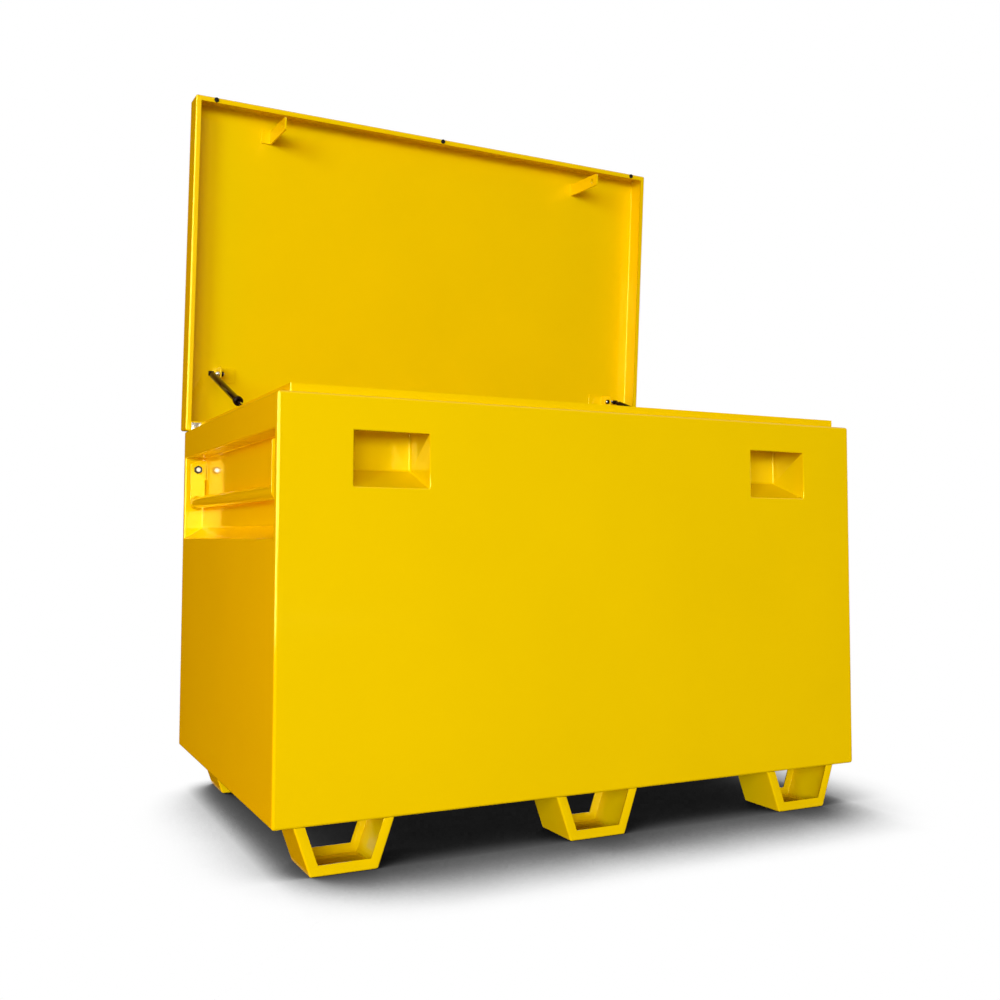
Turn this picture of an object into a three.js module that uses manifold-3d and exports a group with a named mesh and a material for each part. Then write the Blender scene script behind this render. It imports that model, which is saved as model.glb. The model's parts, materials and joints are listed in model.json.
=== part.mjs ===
// Jobsite storage box of folded sheet steel. The lid is hinged along the rear edge and stands open
// on two gas struts. Each end has a recessed drop handle. Millimetres, +Z up, front towards -Y.
import * as THREE from 'three';
import { mergeVertices } from 'three/addons/utils/BufferGeometryUtils.js';
import Module from 'manifold-3d';

// Overall sizes
const boxWidth = 1450;
const boxDepth = 900;
const bodyHeight = 822;
const footHeight = 95;
const sheet = 2;
const bendRadius = 5;
const weldGap = 0.3;
const overrun = 5;
const arcSteps = 2;

// Body shell
const cornerReturn = 17;
const floorSheet = 3;
const sideShoulder = 30;
const frontShoulder = 22;
const rearShoulder = 30;
const rimHeight = 18;

// Lock pockets behind the front panel
const pocketFromEnd = 231;
const pocketShift = 3;
const pocketWidth = 162;
const pocketBelowTop = 69;
const pocketHeight = 111;
const pocketDepth = 105;
const pocketFloorRise = 40;
const housingRise = 42;
const pocketFlange = 12;
const slotClearance = 6;

// Handle recesses in the ends
const recessDepth = 48;
const recessBelowTop = 71;
const recessHeight = 213;
const shelfRise = 29;

// Drop handles
const handlePivotInset = 24;
const handlePivotBelowCeiling = 33;
const armEndOffset = 60;
const armThickness = 6;
const armWidth = 37;
const armAbovePivot = 17;
const armCornerRadius = 5;
const handleDrop = 86;
const barRadius = 15;
const barWall = 2;
const armPlay = 1;
const lugThickness = 6;
const lugBelowPivot = 27;
const lugAbovePivot = 24;
const lugPastPivot = 12;
const boltRadius = 6;
const boltPlay = 0.4;
const boltHeadFlats = 19;
const boltHeadHeight = 8;
const boltNutFlats = 18;
const boltNutHeight = 10;
const boltEndPastNut = 3;

// Feet
const footSoleHalf = 68.5;
const footTopHalf = 102;
const footDepth = 120;
const frontFootSetback = 3;
const rearFootSetback = 57;
const footSheet = 3;
const footFlange = 21;
const footFromEnd = 154;
const footRowShift = -10;

// Strip hinge
const leafThickness = 1.6;
const leafGap = 0.8;
const leafWidth = 24;
const hingeSetback = 1.2;
const hingeEndInset = 18;
const knuckleRadius = 3.6;
const hingePinRadius = 1.6;
const knucklePlay = 0.5;
const knuckleCount = 11;

// Lid
const lidOpenDegrees = 86.2;
const lidHeight = 71;
const lidInset = 3;
const sideLip = 14;
const frontLip = 14;
const rearLip = 26;
const bumperFromEnd = 57;
const bumperInset = 7;
const bumperRadius = 6.3;
const bumperHeight = 3.9;
const bumperRounding = 1.3;
const bumperStemRadius = 3;
const bumperStemLength = 6;

// Lock tabs on the lid
const tabShift = -5;
const tabFrontInset = 66;
const tabWidth = 36;
const tabThickness = 5;
const tabReach = 80;
const tabFootWidth = 24;
const tabCornerRadius = 8;
const tabHoleRadius = 7;
const tabHoleFromTip = 28;

// Gas struts and their brackets
const strutInset = 71;
const lidPivotFromHinge = 160.4;
const lidPivotAboveHinge = 26.6;
const bodyPivotFromFront = 338.3;
const bodyPivotAboveRecess = 27.3;
const bracketSheet = 3;
const lidBracketInset = 94;
const lidBracketFoot = 52;
const lidBracketLength = 41;
const lidBracketPastPivot = 12;
const bodyBracketInset = 40;
const bodyBracketFoot = 32;
const bodyBracketLength = 40;
const bodyBracketPastPivot = 12;
const ballRadius = 5;
const studNeckRadius = 3;
const studCollarRadius = 6.5;
const studCollarLength = 9;
const studThreadRadius = 4;
const studNutFlats = 13;
const studNutHeight = 6.5;
const studEndPastNut = 2;
const rivetHeadLength = 3;
const socketRadius = 7;
const socketReach = 22;
const socketTailRadius = 5.5;
const socketFloor = 1.5;
const openPivotGap = 1;
const tailThreadRadius = 3.5;
const tailThreadLength = 9;
const cylinderRadius = 9;
const cylinderWall = 1.2;
const cylinderLength = 312;
const cylinderCap = 3;
const rodGuideLength = 10;
const rodRadius = 4;
const pistonLength = 12;
const pistonRest = 2;

// Facets of the round pieces
const barSides = 24;
const tubeSides = 16;
const smallSides = 12;
const ballSteps = 4;

// Finishes
const yellowPaint = { color: 0xf0d203, roughness: 0.32, metalness: 0.0 };
const zincPlate = { color: 0xd4d6d4, roughness: 0.35, metalness: 0.9 };
const blackSteel = { color: 0x151516, roughness: 0.4, metalness: 0.5 };
const blackRubber = { color: 0x0c0c0c, roughness: 0.7, metalness: 0.0 };
const polishedRod = { color: 0xc9ccd0, roughness: 0.15, metalness: 1.0 };

// Places that follow from the sizes above
const halfWidth = boxWidth / 2;
const bodyTop = footHeight + bodyHeight;
const hingeLift = leafThickness + leafGap / 2 + weldGap;
const hingeAxisY = boxDepth + hingeSetback;
const hingeAxisZ = bodyTop + hingeLift;
const pocketCentre = halfWidth - pocketFromEnd;
const pocketTop = bodyTop - pocketBelowTop;
const pocketBottom = pocketTop - pocketHeight;
const housingTop = pocketTop + housingRise;
const recessCeiling = bodyTop - recessBelowTop;
const shelfOuterZ = recessCeiling - recessHeight;
const shelfInnerZ = shelfOuterZ + shelfRise;
const pivotZ = recessCeiling - handlePivotBelowCeiling;
const bodyPivotZ = recessCeiling + bodyPivotAboveRecess;
const openTurn = THREE.MathUtils.degToRad(lidOpenDegrees);
const behindSheet = sheet + weldGap;
const leftAndRight = [['left', -1], ['right', 1]];

const wasm = await Module();
wasm.setup();

// Closed three.js geometry as a solid that can be joined and cut
function solidFrom(geometry) {
  const bare = geometry.clone();
  bare.deleteAttribute('normal');
  bare.deleteAttribute('uv');
  const merged = mergeVertices(bare);
  const vertProperties = new Float32Array(merged.attributes.position.array);
  const triVerts = new Uint32Array(merged.index.array);
  return new wasm.Manifold(new wasm.Mesh({ numProp: 3, vertProperties, triVerts }));
}

function geometryFrom(solid) {
  const mesh = solid.getMesh();
  const geometry = new THREE.BufferGeometry();
  geometry.setAttribute('position', new THREE.BufferAttribute(mesh.vertProperties, 3));
  geometry.setIndex(new THREE.BufferAttribute(mesh.triVerts, 1));
  const faceted = geometry.toNonIndexed();
  faceted.computeVertexNormals();
  return faceted;
}

function named(name, solid, finish) {
  const mesh = new THREE.Mesh(geometryFrom(solid), new THREE.MeshStandardMaterial(finish));
  mesh.name = name;
  return mesh;
}

// Solid block between two values on each axis
function block([x0, x1], [y0, y1], [z0, z1]) {
  const geometry = new THREE.BoxGeometry(Math.abs(x1 - x0), Math.abs(y1 - y0), Math.abs(z1 - z0));
  geometry.translate((x0 + x1) / 2, (y0 + y1) / 2, (z0 + z1) / 2);
  return solidFrom(geometry);
}

// Closed outline through the corners, each rounded by the radius given with it
function outline(corners) {
  const shape = new THREE.Shape();
  corners.forEach(([x, y, radius = 0], i) => {
    const here = new THREE.Vector2(x, y);
    const before = new THREE.Vector2(...corners.at(i - 1).slice(0, 2));
    const after = new THREE.Vector2(...corners[(i + 1) % corners.length].slice(0, 2));
    const toBefore = before.sub(here).normalize();
    const toAfter = after.sub(here).normalize();
    if (radius === 0) {
      addPoint(shape, here, i === 0);
      return;
    }
    const halfAngle = Math.acos(THREE.MathUtils.clamp(toBefore.dot(toAfter), -1, 1)) / 2;
    const reach = radius / Math.tan(halfAngle);
    const middle = toBefore.clone().add(toAfter).setLength(radius / Math.sin(halfAngle)).add(here);
    const start = here.clone().addScaledVector(toBefore, reach);
    const end = here.clone().addScaledVector(toAfter, reach);
    const clockwise = toBefore.cross(toAfter) > 0;
    addPoint(shape, start, i === 0);
    const startAngle = start.sub(middle).angle();
    const endAngle = end.sub(middle).angle();
    shape.absarc(middle.x, middle.y, radius, startAngle, endAngle, clockwise);
  });
  shape.closePath();
  return shape;
}

function addPoint(shape, point, first) {
  if (first) shape.moveTo(point.x, point.y);
  else shape.lineTo(point.x, point.y);
}

// Outline in X and Y, raised along Z
function prismZ(corners, [z0, z1]) {
  const settings = { depth: z1 - z0, bevelEnabled: false, curveSegments: arcSteps };
  const geometry = new THREE.ExtrudeGeometry(outline(corners), settings);
  geometry.translate(0, 0, z0);
  return solidFrom(geometry);
}

// Outline in X and Z, drawn out along Y
function prismY(corners, [y0, y1]) {
  const settings = { depth: y1 - y0, bevelEnabled: false, curveSegments: arcSteps };
  const geometry = new THREE.ExtrudeGeometry(outline(corners), settings);
  geometry.rotateX(Math.PI / 2);
  geometry.translate(0, y1, 0);
  return solidFrom(geometry);
}

// Outline in Y and Z, drawn out along X
function prismX(corners, [x0, x1]) {
  const settings = { depth: x1 - x0, bevelEnabled: false, curveSegments: arcSteps };
  const geometry = new THREE.ExtrudeGeometry(outline(corners), settings);
  const turn = new THREE.Matrix4().makeBasis(
    new THREE.Vector3(0, 1, 0),
    new THREE.Vector3(0, 0, 1),
    new THREE.Vector3(1, 0, 0),
  );
  geometry.applyMatrix4(turn);
  geometry.translate(x0, 0, 0);
  return solidFrom(geometry);
}

function roundY(radius, [y0, y1], x, z, sides) {
  const geometry = new THREE.CylinderGeometry(radius, radius, y1 - y0, sides);
  geometry.translate(x, (y0 + y1) / 2, z);
  return solidFrom(geometry);
}

function roundX(radius, [x0, x1], y, z, sides) {
  const geometry = new THREE.CylinderGeometry(radius, radius, x1 - x0, sides);
  geometry.rotateZ(Math.PI / 2);
  geometry.translate((x0 + x1) / 2, y, z);
  return solidFrom(geometry);
}

function hexagonRadius(flats) {
  return flats / 2 / Math.cos(Math.PI / 6);
}

// Profile of radius and height, turned about Y
function turned(profile, sides) {
  const points = profile.map(([radius, height]) => new THREE.Vector2(radius, height));
  return new THREE.LatheGeometry(points, sides);
}

function ordered(a, b) {
  return a < b ? [a, b] : [b, a];
}

// Rectangle with all four corners rounded alike
function rectangle([a0, a1], [b0, b1], radius) {
  return [[a0, b0, radius], [a1, b0, radius], [a1, b1, radius], [a0, b1, radius]];
}

// Block with all its edges rounded
function softBlock(xs, ys, zs, radius) {
  const alongZ = prismZ(rectangle(xs, ys, radius), zs);
  const alongY = prismY(rectangle(xs, zs, radius), ys);
  const alongX = prismX(rectangle(ys, zs, radius), xs);
  return alongZ.intersect(alongY).intersect(alongX);
}

// Space that the folded body fills, drawn in by an inset
function bodyEnvelope(inset) {
  const xs = [inset - halfWidth, halfWidth - inset];
  const ys = [inset, boxDepth - inset];
  const zs = [footHeight + inset, bodyTop - inset];
  return softBlock(xs, ys, zs, bendRadius - inset);
}

const bodyShell = bodyEnvelope(0).subtract(bodyEnvelope(sheet));
const wideX = [-halfWidth - overrun, halfWidth + overrun];
const wideY = [-overrun, boxDepth + overrun];
const panelZ = [footHeight - overrun, bodyTop - behindSheet];

function frontPanel() {
  let panel = bodyShell.intersect(block(wideX, [-overrun, cornerReturn], panelZ));
  for (const [, side] of leftAndRight) {
    const middle = side * pocketCentre + pocketShift;
    const xs = [middle - pocketWidth / 2, middle + pocketWidth / 2];
    panel = panel.subtract(block(xs, [-overrun, overrun], [pocketBottom, pocketTop]));
  }
  return named('front_panel', panel, yellowPaint);
}

function rearPanel() {
  const panel = bodyShell.intersect(block(wideX, [boxDepth - cornerReturn, boxDepth + overrun], panelZ));
  return named('rear_panel', panel, yellowPaint);
}

// End panel with its handle recess: band above, sloped shelf below, caps at both ends
function endPanel(name, side) {
  const face = side * halfWidth;
  const inward = (distance) => face - side * distance;
  const ys = [cornerReturn + weldGap, boxDepth - cornerReturn - weldGap];
  const shelfSlope = shelfRise / recessDepth;
  const skinDrop = sheet * Math.hypot(1, shelfSlope);
  const skinInner = shelfInnerZ + sheet * shelfSlope - skinDrop;
  const space = prismY([
    [inward(-overrun), shelfOuterZ],
    [face, shelfOuterZ],
    [inward(recessDepth), shelfInnerZ, bendRadius - sheet],
    [inward(recessDepth), recessCeiling, bendRadius - sheet],
    [inward(-overrun), recessCeiling],
  ], [ys[0] + sheet, ys[1] - sheet]);
  const skin = prismY([
    [face, shelfOuterZ - skinDrop],
    [inward(recessDepth + sheet), skinInner, bendRadius],
    [inward(recessDepth + sheet), recessCeiling + sheet, bendRadius],
    [face, recessCeiling + sheet],
  ], ys);
  const region = block(ordered(inward(-overrun), inward(cornerReturn)), ys, panelZ);
  const panel = bodyShell.intersect(region).add(skin).subtract(space);
  return named(`${name}_panel`, panel, yellowPaint);
}

// Floor sheet that lies between the inward returns of the four walls
function floorPanel() {
  const edge = cornerReturn + weldGap;
  const xs = [edge - halfWidth, halfWidth - edge];
  const ys = [edge, boxDepth - edge];
  return named('floor_panel', block(xs, ys, [footHeight, footHeight + floorSheet]), yellowPaint);
}

// Shoulder round the mouth with the upstand inside it
function topRim() {
  const flat = bodyEnvelope(0).intersect(block(wideX, wideY, [bodyTop - sheet, bodyTop + overrun]));
  const xs = [sideShoulder - halfWidth, halfWidth - sideShoulder];
  const ys = [frontShoulder, boxDepth - rearShoulder];
  const upstand = block(xs, ys, [bodyTop - sheet, bodyTop + rimHeight]);
  const mouth = block(
    [xs[0] + sheet, xs[1] - sheet],
    [ys[0] + sheet, ys[1] - sheet],
    [bodyTop - sheet - overrun, bodyTop + rimHeight + overrun],
  );
  return named('top_rim', flat.add(upstand).subtract(mouth), yellowPaint);
}

// Folded housing behind a front opening, open to the front, with a slot for the lid's tab
function lockPocket(name, side) {
  const middle = side * pocketCentre + pocketShift;
  const front = behindSheet;
  const slope = pocketFloorRise / (pocketDepth - front);
  const skinDrop = sheet * Math.hypot(1, slope);
  const xs = [middle - pocketWidth / 2, middle + pocketWidth / 2];
  const outerXs = [xs[0] - sheet, xs[1] + sheet];
  const space = prismX([
    [front - overrun, pocketBottom],
    [front, pocketBottom],
    [pocketDepth, pocketBottom + pocketFloorRise, bendRadius - sheet],
    [pocketDepth, housingTop, bendRadius - sheet],
    [front - overrun, housingTop],
  ], xs);
  const skin = prismX([
    [front, pocketBottom - skinDrop],
    [pocketDepth + sheet, pocketBottom + pocketFloorRise + sheet * slope - skinDrop, bendRadius],
    [pocketDepth + sheet, housingTop + sheet, bendRadius],
    [front, housingTop + sheet],
  ], outerXs);
  const flange = block(
    [outerXs[0] - pocketFlange, outerXs[1] + pocketFlange],
    [front, front + sheet],
    [pocketBottom - pocketFlange, housingTop + pocketFlange],
  );
  const tabX = side * pocketCentre + tabShift;
  const tabY = tabFrontInset;
  const slot = block(
    [tabX - tabThickness / 2 - slotClearance, tabX + tabThickness / 2 + slotClearance],
    [tabY - tabWidth / 2 - slotClearance, tabY + tabWidth / 2 + slotClearance],
    [housingTop - overrun, housingTop + overrun],
  );
  return named(`${name}_lock_pocket`, skin.add(flange).subtract(space).subtract(slot), yellowPaint);
}

// Bent channel foot with in-turned flanges at the front and rear
function foot(name, middleX, middleY) {
  const top = footHeight - weldGap;
  const lean = (footTopHalf - footSoleHalf) / footHeight;
  const across = Math.hypot(1, lean);
  const halfAt = (height, inset) => footSoleHalf + lean * height - across * inset;
  const trapezoid = (inset, height) => [
    [middleX - halfAt(inset, inset), inset, Math.max(bendRadius - inset, 0)],
    [middleX + halfAt(inset, inset), inset, Math.max(bendRadius - inset, 0)],
    [middleX + halfAt(height, inset), height],
    [middleX - halfAt(height, inset), height],
  ];
  const ys = [middleY - footDepth / 2, middleY + footDepth / 2];
  const outer = prismY(trapezoid(0, top), ys);
  const hollow = prismY(trapezoid(footSheet, top + overrun), [ys[0] + footSheet, ys[1] - footSheet]);
  const through = prismY(trapezoid(footFlange, top + overrun), [ys[0] - overrun, ys[1] + overrun]);
  return named(name, outer.subtract(hollow).subtract(through), yellowPaint);
}

function feet() {
  const columns = [['left', -1], ['middle', 0], ['right', 1]];
  const rows = [
    ['front', frontFootSetback + footDepth / 2],
    ['rear', boxDepth - rearFootSetback - footDepth / 2],
  ];
  return rows.flatMap(([row, y]) => columns.map(([column, step]) => (
    foot(`${row}_${column}_foot`, footRowShift + step * (halfWidth - footFromEnd), y)
  )));
}

// Handle pieces are laid out from the pivot line, first for the front arm and then for the rear one
function handleEnds() {
  return [
    ['front', armEndOffset, -1],
    ['rear', boxDepth - armEndOffset, 1],
  ];
}

function handleArm(name, side, end, armY) {
  const x = side * (halfWidth - handlePivotInset);
  const bottom = pivotZ - handleDrop - armWidth / 2;
  const plate = prismY([
    [x - armWidth / 2, bottom, armWidth / 2],
    [x + armWidth / 2, bottom, armWidth / 2],
    [x + armWidth / 2, pivotZ + armAbovePivot, armCornerRadius],
    [x - armWidth / 2, pivotZ + armAbovePivot, armCornerRadius],
  ], [armY - armThickness / 2, armY + armThickness / 2]);
  const drill = [armY - armThickness, armY + armThickness];
  const hole = roundY(boltRadius + boltPlay, drill, x, pivotZ, tubeSides);
  return named(`${name}_handle_${end}_arm`, plate.subtract(hole), yellowPaint);
}

function handleBar(name, side) {
  const x = side * (halfWidth - handlePivotInset);
  const z = pivotZ - handleDrop;
  const first = armEndOffset + armThickness / 2 + weldGap;
  const ys = [first, boxDepth - first];
  const tube = roundY(barRadius, ys, x, z, barSides);
  const bore = roundY(barRadius - barWall, [ys[0] - overrun, ys[1] + overrun], x, z, barSides);
  return named(`${name}_handle_bar`, tube.subtract(bore), yellowPaint);
}

// Distance from an arm's middle to the near and far faces of its lug
const lugNear = armThickness / 2 + armPlay;
const lugFar = lugNear + lugThickness;

function handleLug(name, side, end, armY, outward) {
  const wall = side * (halfWidth - recessDepth + weldGap);
  const tip = side * (halfWidth - handlePivotInset + lugPastPivot);
  const ys = ordered(armY + outward * lugNear, armY + outward * lugFar);
  const plate = prismY([
    [wall, pivotZ - lugBelowPivot],
    [tip, pivotZ - lugBelowPivot, lugPastPivot],
    [tip, pivotZ + lugAbovePivot, lugPastPivot],
    [wall, pivotZ + lugAbovePivot],
  ], ys);
  const x = side * (halfWidth - handlePivotInset);
  const hole = roundY(boltRadius + weldGap, [ys[0] - overrun, ys[1] + overrun], x, pivotZ, tubeSides);
  return named(`${name}_${end}_handle_lug`, plate.subtract(hole), yellowPaint);
}

function handleBolt(name, side, end, armY, outward) {
  const x = side * (halfWidth - handlePivotInset);
  const headSeat = armY - outward * (armThickness / 2 + boltPlay);
  const headFace = headSeat - outward * boltHeadHeight;
  const tip = armY + outward * (lugFar + weldGap + boltNutHeight + boltEndPastNut);
  const head = roundY(hexagonRadius(boltHeadFlats), ordered(headFace, headSeat), x, pivotZ, 6);
  const shank = roundY(boltRadius, ordered(headFace, tip), x, pivotZ, tubeSides);
  return named(`${name}_${end}_pivot_bolt`, head.add(shank), zincPlate);
}

function handleNut(name, side, end, armY, outward) {
  const x = side * (halfWidth - handlePivotInset);
  const seat = armY + outward * (lugFar + weldGap);
  const ys = ordered(seat, seat + outward * boltNutHeight);
  const body = roundY(hexagonRadius(boltNutFlats), ys, x, pivotZ, 6);
  const bore = roundY(boltRadius + weldGap, [ys[0] - overrun, ys[1] + overrun], x, pivotZ, tubeSides);
  return named(`${name}_${end}_pivot_nut`, body.subtract(bore), zincPlate);
}

function handle(name, side) {
  const pieces = [handleBar(name, side)];
  for (const [end, armY, outward] of handleEnds()) {
    pieces.push(handleArm(name, side, end, armY));
    pieces.push(handleLug(name, side, end, armY, outward));
    pieces.push(handleBolt(name, side, end, armY, outward));
    pieces.push(handleNut(name, side, end, armY, outward));
  }
  return pieces;
}

// Strip hinge, laid out about its own axis: the body leaf lies below it and the lid leaf above
function hingeLeaf(name, direction, firstKnuckle) {
  const length = boxWidth - 2 * hingeEndInset;
  const start = -length / 2;
  const pitch = length / knuckleCount;
  const zs = ordered(direction * leafGap / 2, direction * (leafGap / 2 + leafThickness));
  const bore = hingePinRadius + weldGap;
  let leaf = block([start, -start], [-leafWidth, -knuckleRadius - knucklePlay], zs);
  for (let i = firstKnuckle; i < knuckleCount; i += 2) {
    const xs = [start + i * pitch + knucklePlay / 2, start + (i + 1) * pitch - knucklePlay / 2];
    const tongue = block(xs, [-knuckleRadius - knucklePlay - sheet, -bore - weldGap], zs);
    leaf = leaf.add(roundX(knuckleRadius, xs, 0, 0, smallSides)).add(tongue);
  }
  const pinSpace = roundX(bore, [start - overrun, -start + overrun], 0, 0, smallSides);
  return named(name, leaf.subtract(pinSpace), zincPlate);
}

function hingePin() {
  const half = halfWidth - hingeEndInset;
  return named('hinge_pin', roundX(hingePinRadius, [-half, half], 0, 0, smallSides), zincPlate);
}

// Lid pieces are laid out closed about the hinge axis: the front lies towards -Y, the top towards +Z
const lidRearY = -hingeSetback;
const lidFrontY = lidRearY - boxDepth + lidInset;
const lidHalfWidth = halfWidth - lidInset;
const lipFace = hingeLift;
const lidTopZ = lipFace + lidHeight;
const lidInnerZ = lidTopZ - sheet;

function bumperPlaces() {
  return [['left', -1], ['middle', 0], ['right', 1]].map(([name, step]) => (
    [`${name}_lid_bumper`, step * (halfWidth - bumperFromEnd), lidFrontY + bumperInset]
  ));
}

// Disc and stem that stand on Z
function standing(profile, x, y, sides) {
  const geometry = turned(profile, sides);
  geometry.rotateX(Math.PI / 2);
  geometry.translate(x, y, 0);
  return solidFrom(geometry);
}

function lidPan() {
  const outerXs = [-lidHalfWidth, lidHalfWidth];
  const outer = softBlock(outerXs, [lidFrontY, lidRearY], [lipFace, lidTopZ], bendRadius);
  const inner = softBlock(
    [sheet - lidHalfWidth, lidHalfWidth - sheet],
    [lidFrontY + sheet, lidRearY - sheet],
    [lipFace + sheet, lidInnerZ],
    bendRadius - sheet,
  );
  const mouth = block(
    [sideLip - lidHalfWidth, lidHalfWidth - sideLip],
    [lidFrontY + frontLip, lidRearY - rearLip],
    [lipFace - overrun, lipFace + overrun],
  );
  let pan = outer.subtract(inner).subtract(mouth);
  const drill = bumperStemRadius + weldGap;
  for (const [, x, y] of bumperPlaces()) {
    const depth = [lipFace - overrun, lipFace + overrun];
    const profile = [[0, depth[0]], [drill, depth[0]], [drill, depth[1]], [0, depth[1]]];
    pan = pan.subtract(standing(profile, x, y, smallSides));
  }
  return named('lid_pan', pan, yellowPaint);
}

function lidBumper([name, x, y]) {
  const seat = lipFace - weldGap;
  const profile = [
    [0, seat - bumperHeight],
    [bumperRadius - bumperRounding, seat - bumperHeight],
    [bumperRadius, seat - bumperHeight + bumperRounding],
    [bumperRadius, seat],
    [bumperStemRadius, seat],
    [bumperStemRadius, seat + bumperStemLength],
    [0, seat + bumperStemLength],
  ];
  return named(name, standing(profile, x, y, smallSides), blackRubber);
}

// Angle-shaped tab under the lid with a padlock hole near its tip
function lockTab(name, side) {
  const x = side * pocketCentre + tabShift;
  const y = tabFrontInset - hingeAxisY;
  const top = lidInnerZ - weldGap;
  const xs = [x - tabThickness / 2, x + tabThickness / 2];
  const ys = [y - tabWidth / 2, y + tabWidth / 2];
  const web = prismX([
    [ys[0], top],
    [ys[0], -tabReach, tabCornerRadius],
    [ys[1], -tabReach, tabCornerRadius],
    [ys[1], top],
  ], xs);
  const footXs = ordered(x, x + side * (tabThickness / 2 + tabFootWidth));
  const footPlate = block(footXs, ys, [top - tabThickness, top]);
  const drill = [xs[0] - overrun, xs[1] + overrun];
  const hole = roundX(tabHoleRadius, drill, y, tabHoleFromTip - tabReach, smallSides);
  return named(`${name}_lock_tab`, web.add(footPlate).subtract(hole), yellowPaint);
}

function lidStrutBracket(name, side) {
  const inward = (distance) => side * (halfWidth - distance);
  const top = lidInnerZ - weldGap;
  const y = -lidPivotFromHinge;
  const ys = [y - lidBracketLength / 2, y + lidBracketLength / 2];
  const low = lidPivotAboveHinge - lidBracketPastPivot;
  const webXs = ordered(inward(lidBracketInset), inward(lidBracketInset + bracketSheet));
  const web = prismX([
    [ys[0], top],
    [ys[0], low, lidBracketPastPivot],
    [ys[1], low, lidBracketPastPivot],
    [ys[1], top],
  ], webXs);
  const footXs = ordered(inward(lidBracketInset), inward(lidBracketInset + lidBracketFoot));
  const footPlate = block(footXs, ys, [top - bracketSheet, top]);
  const drill = [webXs[0] - overrun, webXs[1] + overrun];
  const hole = roundX(studThreadRadius + weldGap, drill, y, lidPivotAboveHinge, smallSides);
  return named(`${name}_lid_strut_bracket`, web.add(footPlate).subtract(hole), yellowPaint);
}

// Profile of a ball, from its tip to where the neck of the stud begins
function ballProfile() {
  const neckAngle = Math.PI - Math.asin(studNeckRadius / ballRadius);
  return Array.from({ length: ballSteps + 1 }, (_, i) => {
    const angle = neckAngle * i / ballSteps;
    return [i === 0 ? 0 : ballRadius * Math.sin(angle), -ballRadius * Math.cos(angle)];
  });
}

// Stud along X from its ball at a place, its profile measured in the given direction
function studAlongX(profile, direction, [x, y, z]) {
  const geometry = turned(profile, smallSides);
  geometry.rotateZ(-direction * Math.PI / 2);
  geometry.translate(x, y, z);
  return solidFrom(geometry);
}

function lidBallStud(name, side) {
  const web = lidBracketInset - strutInset;
  const collarEnd = web - weldGap;
  const end = web + bracketSheet + 2 * weldGap + studNutHeight + studEndPastNut;
  const profile = [
    ...ballProfile(),
    [studNeckRadius, collarEnd - studCollarLength],
    [studCollarRadius, collarEnd - studCollarLength],
    [studCollarRadius, collarEnd],
    [studThreadRadius, collarEnd],
    [studThreadRadius, end],
    [0, end],
  ];
  const ball = [side * (halfWidth - strutInset), -lidPivotFromHinge, lidPivotAboveHinge];
  const solid = studAlongX(profile, -side, ball);
  return named(`${name}_lid_ball_stud`, solid, zincPlate);
}

function lidStudNut(name, side) {
  const seat = lidBracketInset + bracketSheet + weldGap;
  const xs = ordered(side * (halfWidth - seat), side * (halfWidth - seat - studNutHeight));
  const body = roundX(hexagonRadius(studNutFlats), xs, -lidPivotFromHinge, lidPivotAboveHinge, 6);
  const drill = [xs[0] - overrun, xs[1] + overrun];
  const bore = roundX(studThreadRadius + weldGap, drill, -lidPivotFromHinge, lidPivotAboveHinge, smallSides);
  return named(`${name}_lid_stud_nut`, body.subtract(bore), blackSteel);
}

function lidGroup() {
  const group = new THREE.Group();
  group.position.set(0, hingeAxisY, hingeAxisZ);
  group.rotation.x = -openTurn;
  group.add(lidPan(), hingeLeaf('hinge_lid_leaf', 1, 1));
  group.add(...bumperPlaces().map(lidBumper));
  for (const [name, side] of leftAndRight) {
    group.add(lockTab(name, side), lidStrutBracket(name, side));
    group.add(lidBallStud(name, side), lidStudNut(name, side));
  }
  return group;
}

function hingeFixedGroup() {
  const group = new THREE.Group();
  group.position.set(0, hingeAxisY, hingeAxisZ);
  group.add(hingeLeaf('hinge_body_leaf', -1, 0), hingePin());
  return group;
}

// Bracket on the recess ceiling inside the body, with the stud for the lower end of a strut
function bodyStrutBracket(name, side) {
  const inward = (distance) => side * (halfWidth - distance);
  const bottom = recessCeiling + sheet + weldGap;
  const ys = [bodyPivotFromFront - bodyBracketLength / 2, bodyPivotFromFront + bodyBracketLength / 2];
  const top = bodyPivotZ + bodyBracketPastPivot;
  const webXs = ordered(inward(bodyBracketInset), inward(bodyBracketInset + bracketSheet));
  const web = prismX([
    [ys[0], bottom],
    [ys[1], bottom],
    [ys[1], top, bodyBracketPastPivot],
    [ys[0], top, bodyBracketPastPivot],
  ], webXs);
  const inner = bodyBracketInset + bracketSheet;
  const footXs = ordered(inward(inner), inward(inner - bodyBracketFoot));
  const footPlate = block(footXs, ys, [bottom, bottom + bracketSheet]);
  const drill = [webXs[0] - overrun, webXs[1] + overrun];
  const hole = roundX(studThreadRadius + weldGap, drill, bodyPivotFromFront, bodyPivotZ, smallSides);
  return named(`${name}_body_strut_bracket`, web.add(footPlate).subtract(hole), yellowPaint);
}

function bodyBallStud(name, side) {
  const ballInset = strutInset - socketRadius - openPivotGap - ballRadius;
  const web = ballInset - bodyBracketInset - bracketSheet;
  const rivetSeat = web + bracketSheet + weldGap;
  const profile = [
    ...ballProfile(),
    [studNeckRadius, web - weldGap - studCollarLength / 2],
    [studCollarRadius, web - weldGap - studCollarLength / 2],
    [studCollarRadius, web - weldGap],
    [studThreadRadius, web - weldGap],
    [studThreadRadius, rivetSeat],
    [studCollarRadius, rivetSeat],
    [studCollarRadius, rivetSeat + rivetHeadLength],
    [0, rivetSeat + rivetHeadLength],
  ];
  const ball = [side * (halfWidth - ballInset), bodyPivotFromFront, bodyPivotZ];
  const solid = studAlongX(profile, side, ball);
  return named(`${name}_body_ball_stud`, solid, zincPlate);
}

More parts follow.
